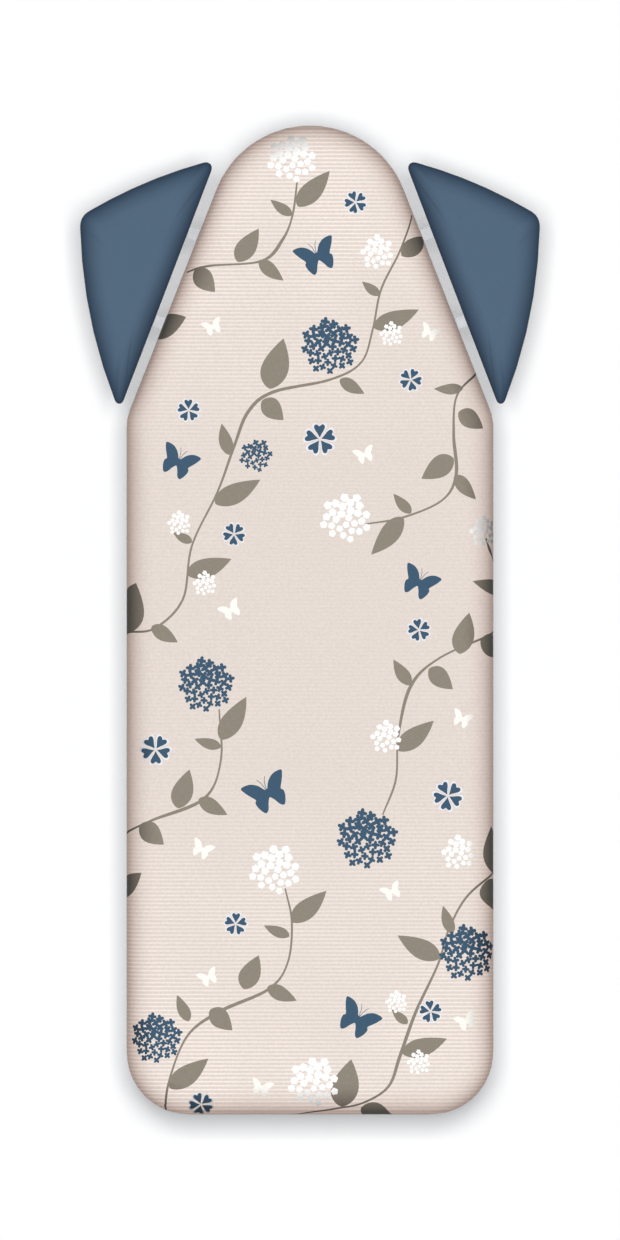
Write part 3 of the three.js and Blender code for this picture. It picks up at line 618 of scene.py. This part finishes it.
# Stems from root to head, in millimetres from the middle of the board.
STEMS = [
    [(-151, 422), (-121, 429), (-58, 435), (-33, 461), (-21, 491), (-15, 536)],
    [
        (-250, -22), (-222, -15), (-188, -10), (-154, 25), (-143, 90), (-112, 155), (-92, 210), (-75, 252),
        (-45, 276), (24, 291), (62, 312), (76, 352), (86, 400), (108, 445), (126, 492),
    ],
    [(226, 316), (205, 300), (178, 272), (174, 225), (177, 176), (160, 145), (112, 124), (66, 116)],
    [(250, -6), (222, -17), (157, -46), (122, -80), (107, -140), (104, -193), (88, -236)],
    [(-250, -266), (-222, -256), (-190, -242), (-128, -216), (-108, -170), (-110, -108)],
    [
        (-182, -628), (-177, -600), (-170, -556), (-148, -503), (-109, -474), (-50, -447), (-27, -415),
        (-22, -366), (-30, -325),
    ],
    [
        (252, -300), (224, -308), (190, -335), (168, -375), (155, -417), (128, -475), (109, -528), (95, -565),
        (64, -585), (30, -593), (-10, -602), (-46, -620),
    ],
    [(212, 104), (219, 86), (236, 60)],
]
# Leaves: stalk, tip and breadth as a share of the length.
LEAVES = [
    (-15, 501, 24, 544, 0.42), (-22, 490, -48, 509, 0.4), (-88, 434, -62, 474, 0.5),
    (-62, 435, -32, 411, 0.44), (-140, 424, -115, 397, 0.66), (111, 441, 145, 467, 0.5),
    (84, 393, 63, 410, 0.44), (77, 354, 132, 376, 0.38), (36, 291, 66, 274, 0.46),
    (-49, 280, -32, 341, 0.52), (-58, 266, -32, 242, 0.68), (-98, 200, -107, 238, 0.42),
    (-115, 141, -60, 170, 0.4), (-143, 94, -166, 106, 0.44), (-149, 55, -95, 74, 0.42),
    (-192, -8, -160, -27, 0.48), (185, 280, 150, 280, 0.38), (180, 252, 210, 232, 0.62),
    (174, 196, 135, 171, 0.56), (175, 175, 201, 146, 0.44), (122, 129, 101, 153, 0.42),
    (113, 124, 74, 79, 0.4), (181, -41, 193, 9, 0.5), (144, -59, 173, -84, 0.6),
    (121, -79, 101, -48, 0.44), (106, -158, 150, -122, 0.42), (-108, -145, -77, -93, 0.42),
    (-108, -154, -140, -144, 0.4), (-160, -228, -146, -181, 0.52), (-135, -217, -100, -236, 0.46),
    (-206, -248, -177, -272, 0.66), (-22, -366, 20, -328, 0.42), (-25, -383, -56, -370, 0.4),
    (-80, -447, -62, -406, 0.56), (-52, -445, -16, -461, 0.46), (-147, -486, -161, -454, 0.42),
    (-121, -472, -94, -497, 0.64), (-170, -567, -123, -531, 0.42), (172, -380, 161, -346, 0.4),
    (157, -410, 106, -382, 0.42), (118, -489, 99, -472, 0.44), (112, -525, 166, -507, 0.4),
    (38, -590, 50, -532, 0.56),
]
# Leaves that wrap over the cloth's edge.
EDGE_LEAVES = [
    (-198, 349, -150, 367, 0.62), (-234, -17, -211, 45, 0.78), (207, -23, 242, -44, 0.66),
    (244, 36, 197, 47, 0.38), (-240, -334, -204, -306, 0.55), (230, -308, 222, -250, 0.6),
    (218, -314, 228, -352, 0.95), (62, -591, 104, -616, 0.62),
]
# Round heads of white florets: middle and radius.
WHITE_HEADS = [
    (-22, 559, 30), (82, 445, 21), (99, 346, 15), (43, 124, 31), (-158, 117, 15), (-127, 44, 15),
    (212, 107, 19), (93, -142, 20), (-43, -302, 31), (180, -282, 21), (105, -463, 14), (132, -536, 15),
    (4, -559, 31),
]
BLUE_HEADS = [
    (24, 331, 35), (-65, 199, 20), (-126, -79, 34), (69, -266, 37), (-186, -507, 31), (191, -404, 35),
]
# Butterflies: middle, span and heading in degrees.
BLUE_BUTTERFLIES = [
    (9, 440, 50, 22), (-160, 191, 46, -26), (132, 45, 45, -26), (-51, -210, 54, 26), (57, -484, 50, -32),
]
CREAM_BUTTERFLIES = [
    (-118, 355, 24, 20), (145, 348, 24, -25), (66, 200, 25, 18), (-96, 12, 27, 30), (184, -120, 25, -22),
    (-131, -278, 27, -25), (99, -329, 25, 25), (-123, -433, 25, 24), (189, -486, 26, 22),
    (-59, -567, 26, -15),
]
# Five-petal blossoms: middle, radius and turn in degrees.
BLOSSOMS = [
    (55, 506, 13, 40), (122, 291, 13, 65), (-147, 254, 13, 20), (12, 219, 18, 20), (-92, 104, 13, 50),
    (132, -12, 13, 30), (-187, -157, 17, 55), (167, -213, 17, 45), (-90, -368, 13, 15),
    (146, -474, 13, 25), (-132, -587, 14, 40),
]
MM = 0.001
LARGE_HEAD = 25
# A head's number of florets, and each one's radius as a share of the head's.
LARGE_WHITE, SMALL_WHITE = (27, 0.155), (21, 0.17)
LARGE_BLUE, SMALL_BLUE = (44, 0.155), (26, 0.19)


def flower_print():
    """The whole print, stems first, so that flowers lie over them."""
    print_ = Print()
    for points in STEMS:
        stamp_stem(print_, np.array(points) * MM)
    for x, y, tip_x, tip_y, breadth in LEAVES + EDGE_LEAVES:
        stamp_leaf(print_, (x * MM, y * MM), (tip_x * MM, tip_y * MM), breadth)
    for x, y, radius in WHITE_HEADS:
        florets, size = LARGE_WHITE if radius > LARGE_HEAD else SMALL_WHITE
        stamp_head(print_, (x * MM, y * MM), radius * MM, florets, ROUND_FLORET, size, WHITE_INK)
    for x, y, radius in BLUE_HEADS:
        florets, size = LARGE_BLUE if radius > LARGE_HEAD else SMALL_BLUE
        stamp_head(print_, (x * MM, y * MM), radius * MM, florets, BLUE_FLORET, size, INK_BLUE)
    for x, y, radius, turn in BLOSSOMS:
        stamp_blossom(print_, (x * MM, y * MM), radius * MM, math.radians(turn))
    for x, y, span, angle in BLUE_BUTTERFLIES:
        stamp_butterfly(print_, (x * MM, y * MM), span * MM, angle, INK_BLUE)
        stamp_feelers(print_, (x * MM, y * MM), span * MM, angle, INK_BLUE)
    for x, y, span, angle in CREAM_BUTTERFLIES:
        stamp_butterfly(print_, (x * MM, y * MM), span * MM, angle, CREAM_INK)
    return print_.shapes


# ---- the cover: a flat printed cloth rolled over the board's edge and turned under the rim ----
OUTLINE_PITCH = 0.003
OUTLINE_PASSES = 24
BOARD_OUTLINE = node_outline("board_cover", OUTLINE_PITCH, OUTLINE_PASSES)


def edge_profile():
    """The cloth's section at the edge, from where it starts to roll: its run, distance out and drop."""
    quarter = np.linspace(0, math.pi / 2, ROLL_POINTS)
    roll = np.column_stack((ROLL_ACROSS * np.sin(quarter), ROLL_DROP * (1 - np.cos(quarter))))
    skirt_end = TOP - RIM_BOTTOM + CLOTH_GAP - HEM_TURN
    turn = np.column_stack(
        (ROLL_ACROSS - HEM_TURN * (1 - np.cos(quarter)), skirt_end + HEM_TURN * np.sin(quarter))
    )
    hem = np.array([[ROLL_ACROSS - HEM_TURN - HEM_WIDTH, skirt_end + HEM_TURN]])
    line = np.vstack((roll, turn, hem))
    run = np.concatenate(([0], np.cumsum(np.linalg.norm(np.diff(line, axis=0), axis=1))))
    return run, line[:, 0], line[:, 1]


RUN, REACH, DROP = edge_profile()
ROLL_LINE = BOARD_OUTLINE - outward_normals(BOARD_OUTLINE) * ROLL_ACROSS


CHUNK = 1500


def from_roll_line(points):
    """For each flat point: its foot on the roll line, the normal there, how far out it lies, and where."""
    normals = outward_normals(ROLL_LINE)
    following = np.roll(ROLL_LINE, -1, axis=0)
    side = following - ROLL_LINE
    length2 = (side**2).sum(1)
    feet, outs, far, place_along = [], [], [], []
    for chunk in np.array_split(points, max(len(points) // CHUNK, 1)):
        offset = chunk[:, None] - ROLL_LINE[None]
        share = np.clip((offset * side).sum(2) / length2, 0, 1)
        foot = ROLL_LINE + side * share[..., None]
        best = np.linalg.norm(chunk[:, None] - foot, axis=2).argmin(1)
        row = np.arange(len(chunk))
        share = share[row, best][:, None]
        normal = normals[best] * (1 - share) + np.roll(normals, -1, axis=0)[best] * share
        normal /= np.linalg.norm(normal, axis=1, keepdims=True)
        foot = foot[row, best]
        feet.append(foot)
        outs.append(normal)
        far.append(((chunk - foot) * normal).sum(1))
        place_along.append(best + share[:, 0])
    along = np.concatenate(place_along) * OUTLINE_PITCH
    return np.vstack(feet), np.vstack(outs), np.concatenate(far), along


def ripples(x, y):
    """Low, irregular swells of a stretched cloth over foam, from -1 to 1."""
    return (
        np.sin(11.3 * x + 5.1 * y + 0.4) * np.sin(7.7 * y - 3.9 * x + 1.2)
        + 0.5 * np.sin(23.1 * x - 14.2 * y + 2.1) * np.sin(17.9 * y + 0.7)
    ) / 1.5


TOP_CLEARANCE = 0.0006
SWELL_HEIGHT = 0.0004
LOOSE_RUN = 0.02
GATHER_DEPTH = 0.0003
GATHER_PITCH = 0.017
# How strongly the elastic gathers the skirt: everywhere, more at the corners, and most round the nose.
EVEN_GATHER = 0.25
NOSE_GATHER = 0.9
NOSE_NORMAL = 0.4
SKIRT_ONSET = 0.8


def wrapped(points):
    """Where each point of the flat cloth ends up on the board."""
    foot, normal, out, along = from_roll_line(points)
    beyond = np.clip(out, 0, None)
    reach, drop = np.interp(beyond, RUN, REACH), np.interp(beyond, RUN, DROP)
    plan = np.where(out[:, None] > 0, foot + normal * reach[:, None], points)
    swell = SWELL_HEIGHT * ripples(points[:, 0], points[:, 1])
    bend = np.abs(normal[:, 0] * normal[:, 1]) + NOSE_GATHER * (normal[:, 1] > NOSE_NORMAL)
    loose = np.clip((beyond - RUN[ROLL_POINTS - 1] * SKIRT_ONSET) / LOOSE_RUN, 0, 1)
    folds = 1 + np.sin(2 * math.pi * along / GATHER_PITCH + 2 * np.sin(along * 21))
    gathers = GATHER_DEPTH * loose * (EVEN_GATHER + bend) * folds
    plan = plan + normal * gathers[:, None]
    return np.column_stack((plan, TOP - TOP_CLEARANCE - drop + swell * (1 - loose)))


FIELD_PITCH = 0.009
FIELD_MARGIN = 0.004
RING_PITCH = 0.0085
RING_COUNT = 21


def flat_points():
    """Points of the flat cloth apart from the print: an even field on top, then rings across the edge."""
    field = np.array(staggered_field(COVER_LOW, COVER_HIGH, FIELD_PITCH))
    field = field[from_roll_line(field)[2] < -FIELD_MARGIN]
    loop = resample(ROLL_LINE, RING_PITCH)
    normals = outward_normals(loop)
    rings = [loop + normals * out for out in np.linspace(0, RUN[-1], RING_COUNT)]
    return field, rings


def printed_cloth():
    """The flat cloth cut along every printed outline, with the ink of each face."""
    shapes = flower_print()
    field, rings = flat_points()
    border = rings[-1]
    points = [*field, *np.vstack(rings[:-1])]
    faces = []
    for outline in [border, *[outline for outline, _ in shapes]]:
        faces.append(list(range(len(points), len(points) + len(outline))))
        points.extend(outline)
    result = geometry.delaunay_2d_cdt([Vector(p) for p in points], [], faces, 0, 1e-6, True)
    flat, triangles, owners = result[0], result[2], result[5]
    kept = [(tri, own) for tri, own in zip(triangles, owners) if 0 in own]
    inks = [COTTON if max(own) == 0 else (*shapes[max(own) - 1][1][:3], 0.0) for _, own in kept]
    return np.array([tuple(p) for p in flat]), [tri for tri, _ in kept], inks, border


def paint_faces(piece, inks):
    """Stores each face's ink at its corners, so that the print's edges stay sharp."""
    layer = piece.data.color_attributes.new("ink", "FLOAT_COLOR", "CORNER")
    counts = [len(face.vertices) for face in piece.data.polygons]
    corners = np.repeat(np.array(inks, np.float32), counts, axis=0)
    layer.data.foreach_set("color", corners.ravel())


def paint_edge_shade(piece, nearness):
    """Stores the painted shade along a cloth piece's edge, from 0 in the middle to 1 at the edge."""
    layer = piece.data.attributes.new("edge", "FLOAT", "POINT")
    layer.data.foreach_set("value", nearness**EDGE_SHADE_POWER)


def cover_edge_nearness(out):
    """Painted shade on the cover: it rises as the cloth comes to the roll and falls again down the skirt."""
    rise = np.clip((out + EDGE_SHADE_START) / (EDGE_SHADE_START + ROLL_ACROSS), 0, 1)
    down_skirt = np.clip((out - RUN[ROLL_POINTS - 1]) / SKIRT_SHADE_END, 0, 1)
    return rise * (1 - SKIRT_FADE * down_skirt)


def board_cover():
    """The printed cover, with its cut size and area and the lines of its hem and its seam."""
    flat, triangles, inks, border = printed_cloth()
    used = np.unique(triangles)
    renumber = np.zeros(len(flat), int)
    renumber[used] = np.arange(len(used))
    faces = renumber[np.array(triangles)]
    piece = mesh_piece("printed_cover", wrapped(flat[used]), faces, FINISHES["print_cloth"])
    paint_faces(piece, inks)
    # Painted shade towards the cover's rolled edge.
    paint_edge_shade(piece, cover_edge_nearness(from_roll_line(flat[used])[2]))
    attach(piece, "top")
    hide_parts("board_cover")
    span = border.max(0) - border.min(0)
    roll_line = resample(ROLL_LINE, TRIM_PITCH)
    flat_seam = roll_line + outward_normals(roll_line) * (RUN[-1] - SEAM_INSET)
    seam = wrapped(flat_seam) - (0, 0, STITCH_RADIUS / 2)
    return piece, span, enclosed_area(border), wrapped(border), seam


# ---- swept and lofted shapes ----
def ring_faces(rings, count):
    """Quads between neighbouring closed rings of equal length."""
    return [
        (k * count + i, k * count + (i + 1) % count, (k + 1) * count + (i + 1) % count, (k + 1) * count + i)
        for k in range(rings - 1)
        for i in range(count)
    ]


def loop_frame(loop):
    """Directions along a closed loop, level and square to it, and upward."""
    along = np.roll(loop, -1, axis=0) - np.roll(loop, 1, axis=0)
    along /= np.linalg.norm(along, axis=1, keepdims=True)
    side = np.cross(along, (0, 0, 1.0))
    return along, side, np.cross(side, along)


def tube(name, loop, radius, material, sides=8, ruffle=0.0):
    """A closed round bead along a loop of points, its thickness rippling where elastic gathers it."""
    _, side, up = loop_frame(loop)
    swell = radius * (1 + ruffle * np.sin(np.arange(len(loop)) * 1.9))
    angles = 2 * math.pi * np.arange(sides + 1) / sides
    rings = [loop + (side * math.cos(a) + up * math.sin(a)) * swell[:, None] for a in angles]
    piece = mesh_piece(name, np.vstack(rings), ring_faces(sides + 1, len(loop)), material)
    weld(piece)
    return piece


def weld(piece):
    """Joins points that lie on each other."""
    work = bmesh.new()
    work.from_mesh(piece.data)
    bmesh.ops.remove_doubles(work, verts=work.verts, dist=1e-7)
    work.to_mesh(piece.data)
    work.free()


def loft(name, rings, material):
    """A closed solid through level rings of equal length, bottom first, with its ends filled."""
    count = len(rings[0])
    last = (len(rings) - 1) * count
    faces = ring_faces(len(rings), count)
    faces += [tuple(range(count))[::-1], tuple(range(last, last + count))]
    return mesh_piece(name, np.vstack(rings), faces, material)


def stitches(name, loop, material):
    """A row of short thread stitches along a loop, each a small bar that is thickest in the middle."""
    spaced = resample(loop, STITCH_PITCH)
    profile = [(-0.5, 0.25), (-0.3, 1.0), (0.3, 1.0), (0.5, 0.25)]
    sides = 5
    points, faces = [], []
    for centre, along, side, up in zip(spaced, *loop_frame(spaced)):
        base = len(points)
        for share, width in profile:
            for angle in 2 * math.pi * np.arange(sides) / sides:
                ring = (side * math.cos(angle) + up * math.sin(angle)) * STITCH_RADIUS * width
                points.append(centre + along * share * STITCH_LENGTH + ring)
        faces += [[base + corner for corner in quad] for quad in ring_faces(len(profile), sides)]
        end = base + sides * (len(profile) - 1)
        faces += [list(range(base, base + sides))[::-1], list(range(end, end + sides))]
    return mesh_piece(name, points, faces, material)


def level_ring(outline, inset, z):
    """The outline drawn in by the inset, at a height."""
    return level(outline - outward_normals(outline) * inset, z)


LAYER_PITCH = 0.008
FOAM_LEVELS = [0, 0.2, 0.4, 0.6, 0.8, 0.92, 0.98]
# The felt's section from the bottom up: inset from the outline and share of its height.
FELT_SECTION = [(0.007, 0), (0.0055, 0.2), (0.0055, 0.7), (0.007, 0.95), (0.02, 1.0)]


def pad_layers():
    """The foam and the felt under the cover, with eased edges."""
    outline = resample(BOARD_OUTLINE, LAYER_PITCH)
    foam_low, foam_high = (corner.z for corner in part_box("foam_pad"))
    heights = foam_low + (foam_high - foam_low) * np.array(FOAM_LEVELS)
    under_roll = np.interp(TOP - heights - LAYER_GAP, DROP[:ROLL_POINTS], REACH[:ROLL_POINTS])
    insets = ROLL_ACROSS - under_roll + LAYER_GAP
    foam_rings = [level_ring(outline, inset, z) for inset, z in zip(insets, heights)]
    foam = loft("foam_layer", foam_rings, FINISHES["foam"])
    felt_low, felt_high = (corner.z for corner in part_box("felt_underlay"))
    depth = felt_high - felt_low
    felt_rings = [level_ring(outline, inset, felt_low + depth * share) for inset, share in FELT_SECTION]
    felt = loft("felt_layer", felt_rings, FINISHES["felt"])
    for piece, node, slot in ((foam, "foam_pad", "foam"), (felt, "felt_underlay", "felt")):
        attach(piece, "top")
        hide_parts(node)
    return foam, felt


# ---- shoulder wings ----
WING_STEPS = 20
CLOTH_QUALITY = 6
CLOTH_MASS = 0.3
CLOTH_STIFFNESS = 25
FILL_PRESSURE = 4
HELD_HEIGHT = 0.003
WING_PITCH = 0.003
SWELL_LIMIT = 0.0024
# Painted shade along the wing's rounded edge reaches this far in.
WING_SHADE_WIDTH = 0.026
WING_INRADIUS = 0.051
HEM_INSET = 0.012
# The wing cover's section, hem to flat top: inset from the outline and share of the height.
WING_SECTION = [
    (HEM_INSET, 0.02), (0.006, 0.0), (0.0025, 0.02), (0.0006, 0.1), (0.0, 0.22), (0.0002, 0.36),
    (0.001, 0.5), (0.0026, 0.64), (0.005, 0.76), (0.0085, 0.86), (0.013, 0.93), (0.019, 0.98),
    (0.026, 1.0),
]


def distance_inside(points, loop):
    """How far inside a closed loop each plan point lies."""
    side = np.roll(loop, -1, axis=0) - loop
    offset = points[:, None] - loop[None]
    share = np.clip((offset * side).sum(2) / (side**2).sum(1), 0, 1)
    return np.linalg.norm(offset - side * share[..., None], axis=2).min(1)


def drawn_in(outline, middle, inset):
    return (outline - middle) * (1 - inset / WING_INRADIUS) + middle


def filled(ring, pitch):
    """A plan loop filled with an even field: its points, the loop's own first, and its triangles."""
    low, high = ring.min(0), ring.max(0)
    field = [point for point in staggered_field(low, high, pitch) if inside_convex(point, ring)]
    points = [Vector(point) for point in [*ring, *field]]
    result = geometry.delaunay_2d_cdt(points, [], [list(range(len(ring)))], 1, 1e-6, True)
    source = [origin[0] for origin in result[3]]
    triangles = [[source[corner] for corner in triangle] for triangle in result[2]]
    return np.array([*ring, *field]), triangles


def inside_convex(point, loop):
    """True if a plan point is clearly inside a convex counterclockwise loop."""
    side = np.roll(loop, -1, axis=0) - loop
    offset = np.asarray(point) - loop
    distance = (side[:, 0] * offset[:, 1] - side[:, 1] * offset[:, 0]) / np.linalg.norm(side, axis=1)
    return distance.min() > WING_PITCH / 2


def wing_blank(side):
    """The wing cover before it is filled: a hem turned under, a rounded edge and a flat top."""
    low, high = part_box(f"wing_cover_{side}")
    outline = node_outline(f"wing_cover_{side}", WING_PITCH, 1)
    middle = outline.mean(0)
    heights = [low.z + (high.z - low.z) * share for _, share in WING_SECTION]
    rings = [drawn_in(outline, middle, inset) for inset, _ in WING_SECTION]
    count = len(outline)
    faces = ring_faces(len(rings), count)
    top, triangles = filled(rings[-1], WING_PITCH)
    last = (len(rings) - 1) * count
    faces += [[last + corner for corner in triangle] for triangle in triangles]
    points = np.vstack([*[level(ring, z) for ring, z in zip(rings[:-1], heights)], level(top, heights[-1])])
    return mesh_piece(f"wing_cushion_{side}", points, faces, FINISHES["slate_cloth"]), outline, middle


def positions(mesh):
    values = np.empty(len(mesh.vertices) * 3)
    mesh.vertices.foreach_get("co", values)
    return values.reshape(-1, 3)


def apply_modifiers(piece):
    """Replaces the mesh by its evaluated shape and clears its modifiers."""
    shown = piece.evaluated_get(bpy.context.evaluated_depsgraph_get())
    mesh = bpy.data.meshes.new_from_object(shown)
    piece.modifiers.clear()
    piece.data = mesh


def inflate(piece):
    """Fills the cover by cloth simulation with pressure; its hem stays where the steel panel holds it."""
    rest = positions(piece.data)
    floor_z = rest[:, 2].min()
    held = piece.vertex_groups.new(name="held")
    held.add([i for i, point in enumerate(rest) if point[2] < floor_z + HELD_HEIGHT], 1.0, "REPLACE")
    cloth = piece.modifiers.new("cloth", "CLOTH")
    cloth.settings.quality = CLOTH_QUALITY
    cloth.settings.mass = CLOTH_MASS
    cloth.settings.tension_stiffness = CLOTH_STIFFNESS
    cloth.settings.compression_stiffness = CLOTH_STIFFNESS
    cloth.settings.use_pressure = True
    cloth.settings.uniform_pressure_force = FILL_PRESSURE
    cloth.settings.effector_weights.gravity = 0
    cloth.settings.vertex_group_mass = "held"
    scene = bpy.context.scene
    for step in range(1, WING_STEPS + 1):
        scene.frame_set(step)
    apply_modifiers(piece)
    moved = positions(piece.data) - rest
    length = np.linalg.norm(moved, axis=1, keepdims=True)
    moved *= np.minimum(1, SWELL_LIMIT / np.maximum(length, 1e-9))
    piece.data.vertices.foreach_set("co", (rest + moved).ravel())
    scene.frame_set(1)


def wing(side):
    cushion, outline, middle = wing_blank(side)
    inflate(cushion)
    inward = distance_inside(positions(cushion.data)[:, :2], outline)
    # Painted shade along the wing cushion's rounded edge.
    paint_edge_shade(cushion, np.clip(1 - inward / WING_SHADE_WIDTH, 0, 1))
    cushion.data.polygons.foreach_set("use_smooth", [True] * len(cushion.data.polygons))
    smooth = cushion.modifiers.new("smooth", "SUBSURF")
    smooth.levels = smooth.render_levels = 1
    floor_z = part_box(f"wing_cover_{side}")[0].z
    elastic_line = level(drawn_in(outline, middle, HEM_INSET), floor_z + ELASTIC_RADIUS / 2)
    elastic_line = resample(elastic_line, WING_PITCH)
    hem = tube(f"wing_hem_{side}", elastic_line, ELASTIC_RADIUS, ELASTIC, ruffle=WING_RUFFLE)
    seam_line = level(drawn_in(outline, middle, 0.7 * HEM_INSET), floor_z - STITCH_RADIUS / 2)
    seam = stitches(f"wing_stitches_{side}", seam_line, THREAD_LINE)
    for piece in (cushion, hem, seam):
        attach(piece, f"wing_{side}")
    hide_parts(f"wing_cover_{side}", f"wing_pad_{side}")


# ---- studio ----
def studio():
    """A near-white floor, a lamp high overhead that hides the shadow behind the board, and a white fill."""
    material, tree, shader = new_material("studio_floor")
    tone = ramp(tree, noise(tree, 0.5), low=0.975, high=0.99)
    base = solid(tree, PLAIN)
    tree.links.new(tint(tree, base, tone), shader.inputs["Base Color"])
    set_shader(shader, {"Roughness": 0.9})
    half = FLOOR_SIZE / 2
    corners = level(np.array([(-half, -half), (half, -half), (half, half), (-half, half)]), FLOOR - FLOOR_GAP)
    mesh_piece("studio_floor", corners, [(0, 1, 2, 3)], material, smooth=False)
    world = bpy.data.worlds.new("studio")
    world.use_nodes = True
    world.node_tree.nodes["Background"].inputs["Color"].default_value = FILL_COLOUR
    world.node_tree.nodes["Background"].inputs["Strength"].default_value = FILL_STRENGTH
    bpy.context.scene.world = world
    soft_box("overhead", LAMP_AT, LAMP_SIZE, LAMP_POWER)
    bpy.context.scene.view_settings.view_transform = "Standard"


def soft_box(name, at, size, power):
    lamp = bpy.data.lights.new(name, "AREA")
    lamp.shape = "SQUARE"
    lamp.size = size
    lamp.energy = power
    light = bpy.data.objects.new(name, lamp)
    light.location = at
    light.rotation_euler = (Vector((0, 0, TOP)) - Vector(at)).to_track_quat("-Z", "Y").to_euler()
    light.visible_camera = False
    bpy.context.scene.collection.objects.link(light)


def camera():
    """Straight down from far away, with the nose at the top of the picture."""
    lens = bpy.data.cameras.new("camera")
    lens.lens = CAMERA_LENS
    lens.sensor_width = SENSOR
    lens.clip_end = VIEW_DEPTH
    view = bpy.data.objects.new("camera", lens)
    view.location = (0, 0, TOP + FRAME_HEIGHT * CAMERA_LENS / SENSOR)
    bpy.context.scene.collection.objects.link(view)
    bpy.context.scene.camera = view


camera()
studio()
finish_frame()
pad_layers()
cover, cut_size, cut_area, hem_edge, seam_line = board_cover()
binding = tube("cover_hem", resample(hem_edge, TRIM_PITCH), ELASTIC_RADIUS, ELASTIC, ruffle=COVER_RUFFLE)
cover_seam = stitches("cover_stitches", seam_line, THREAD_LINE)
for trim in (binding, cover_seam):
    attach(trim, "top")
wing("left")
wing("right")
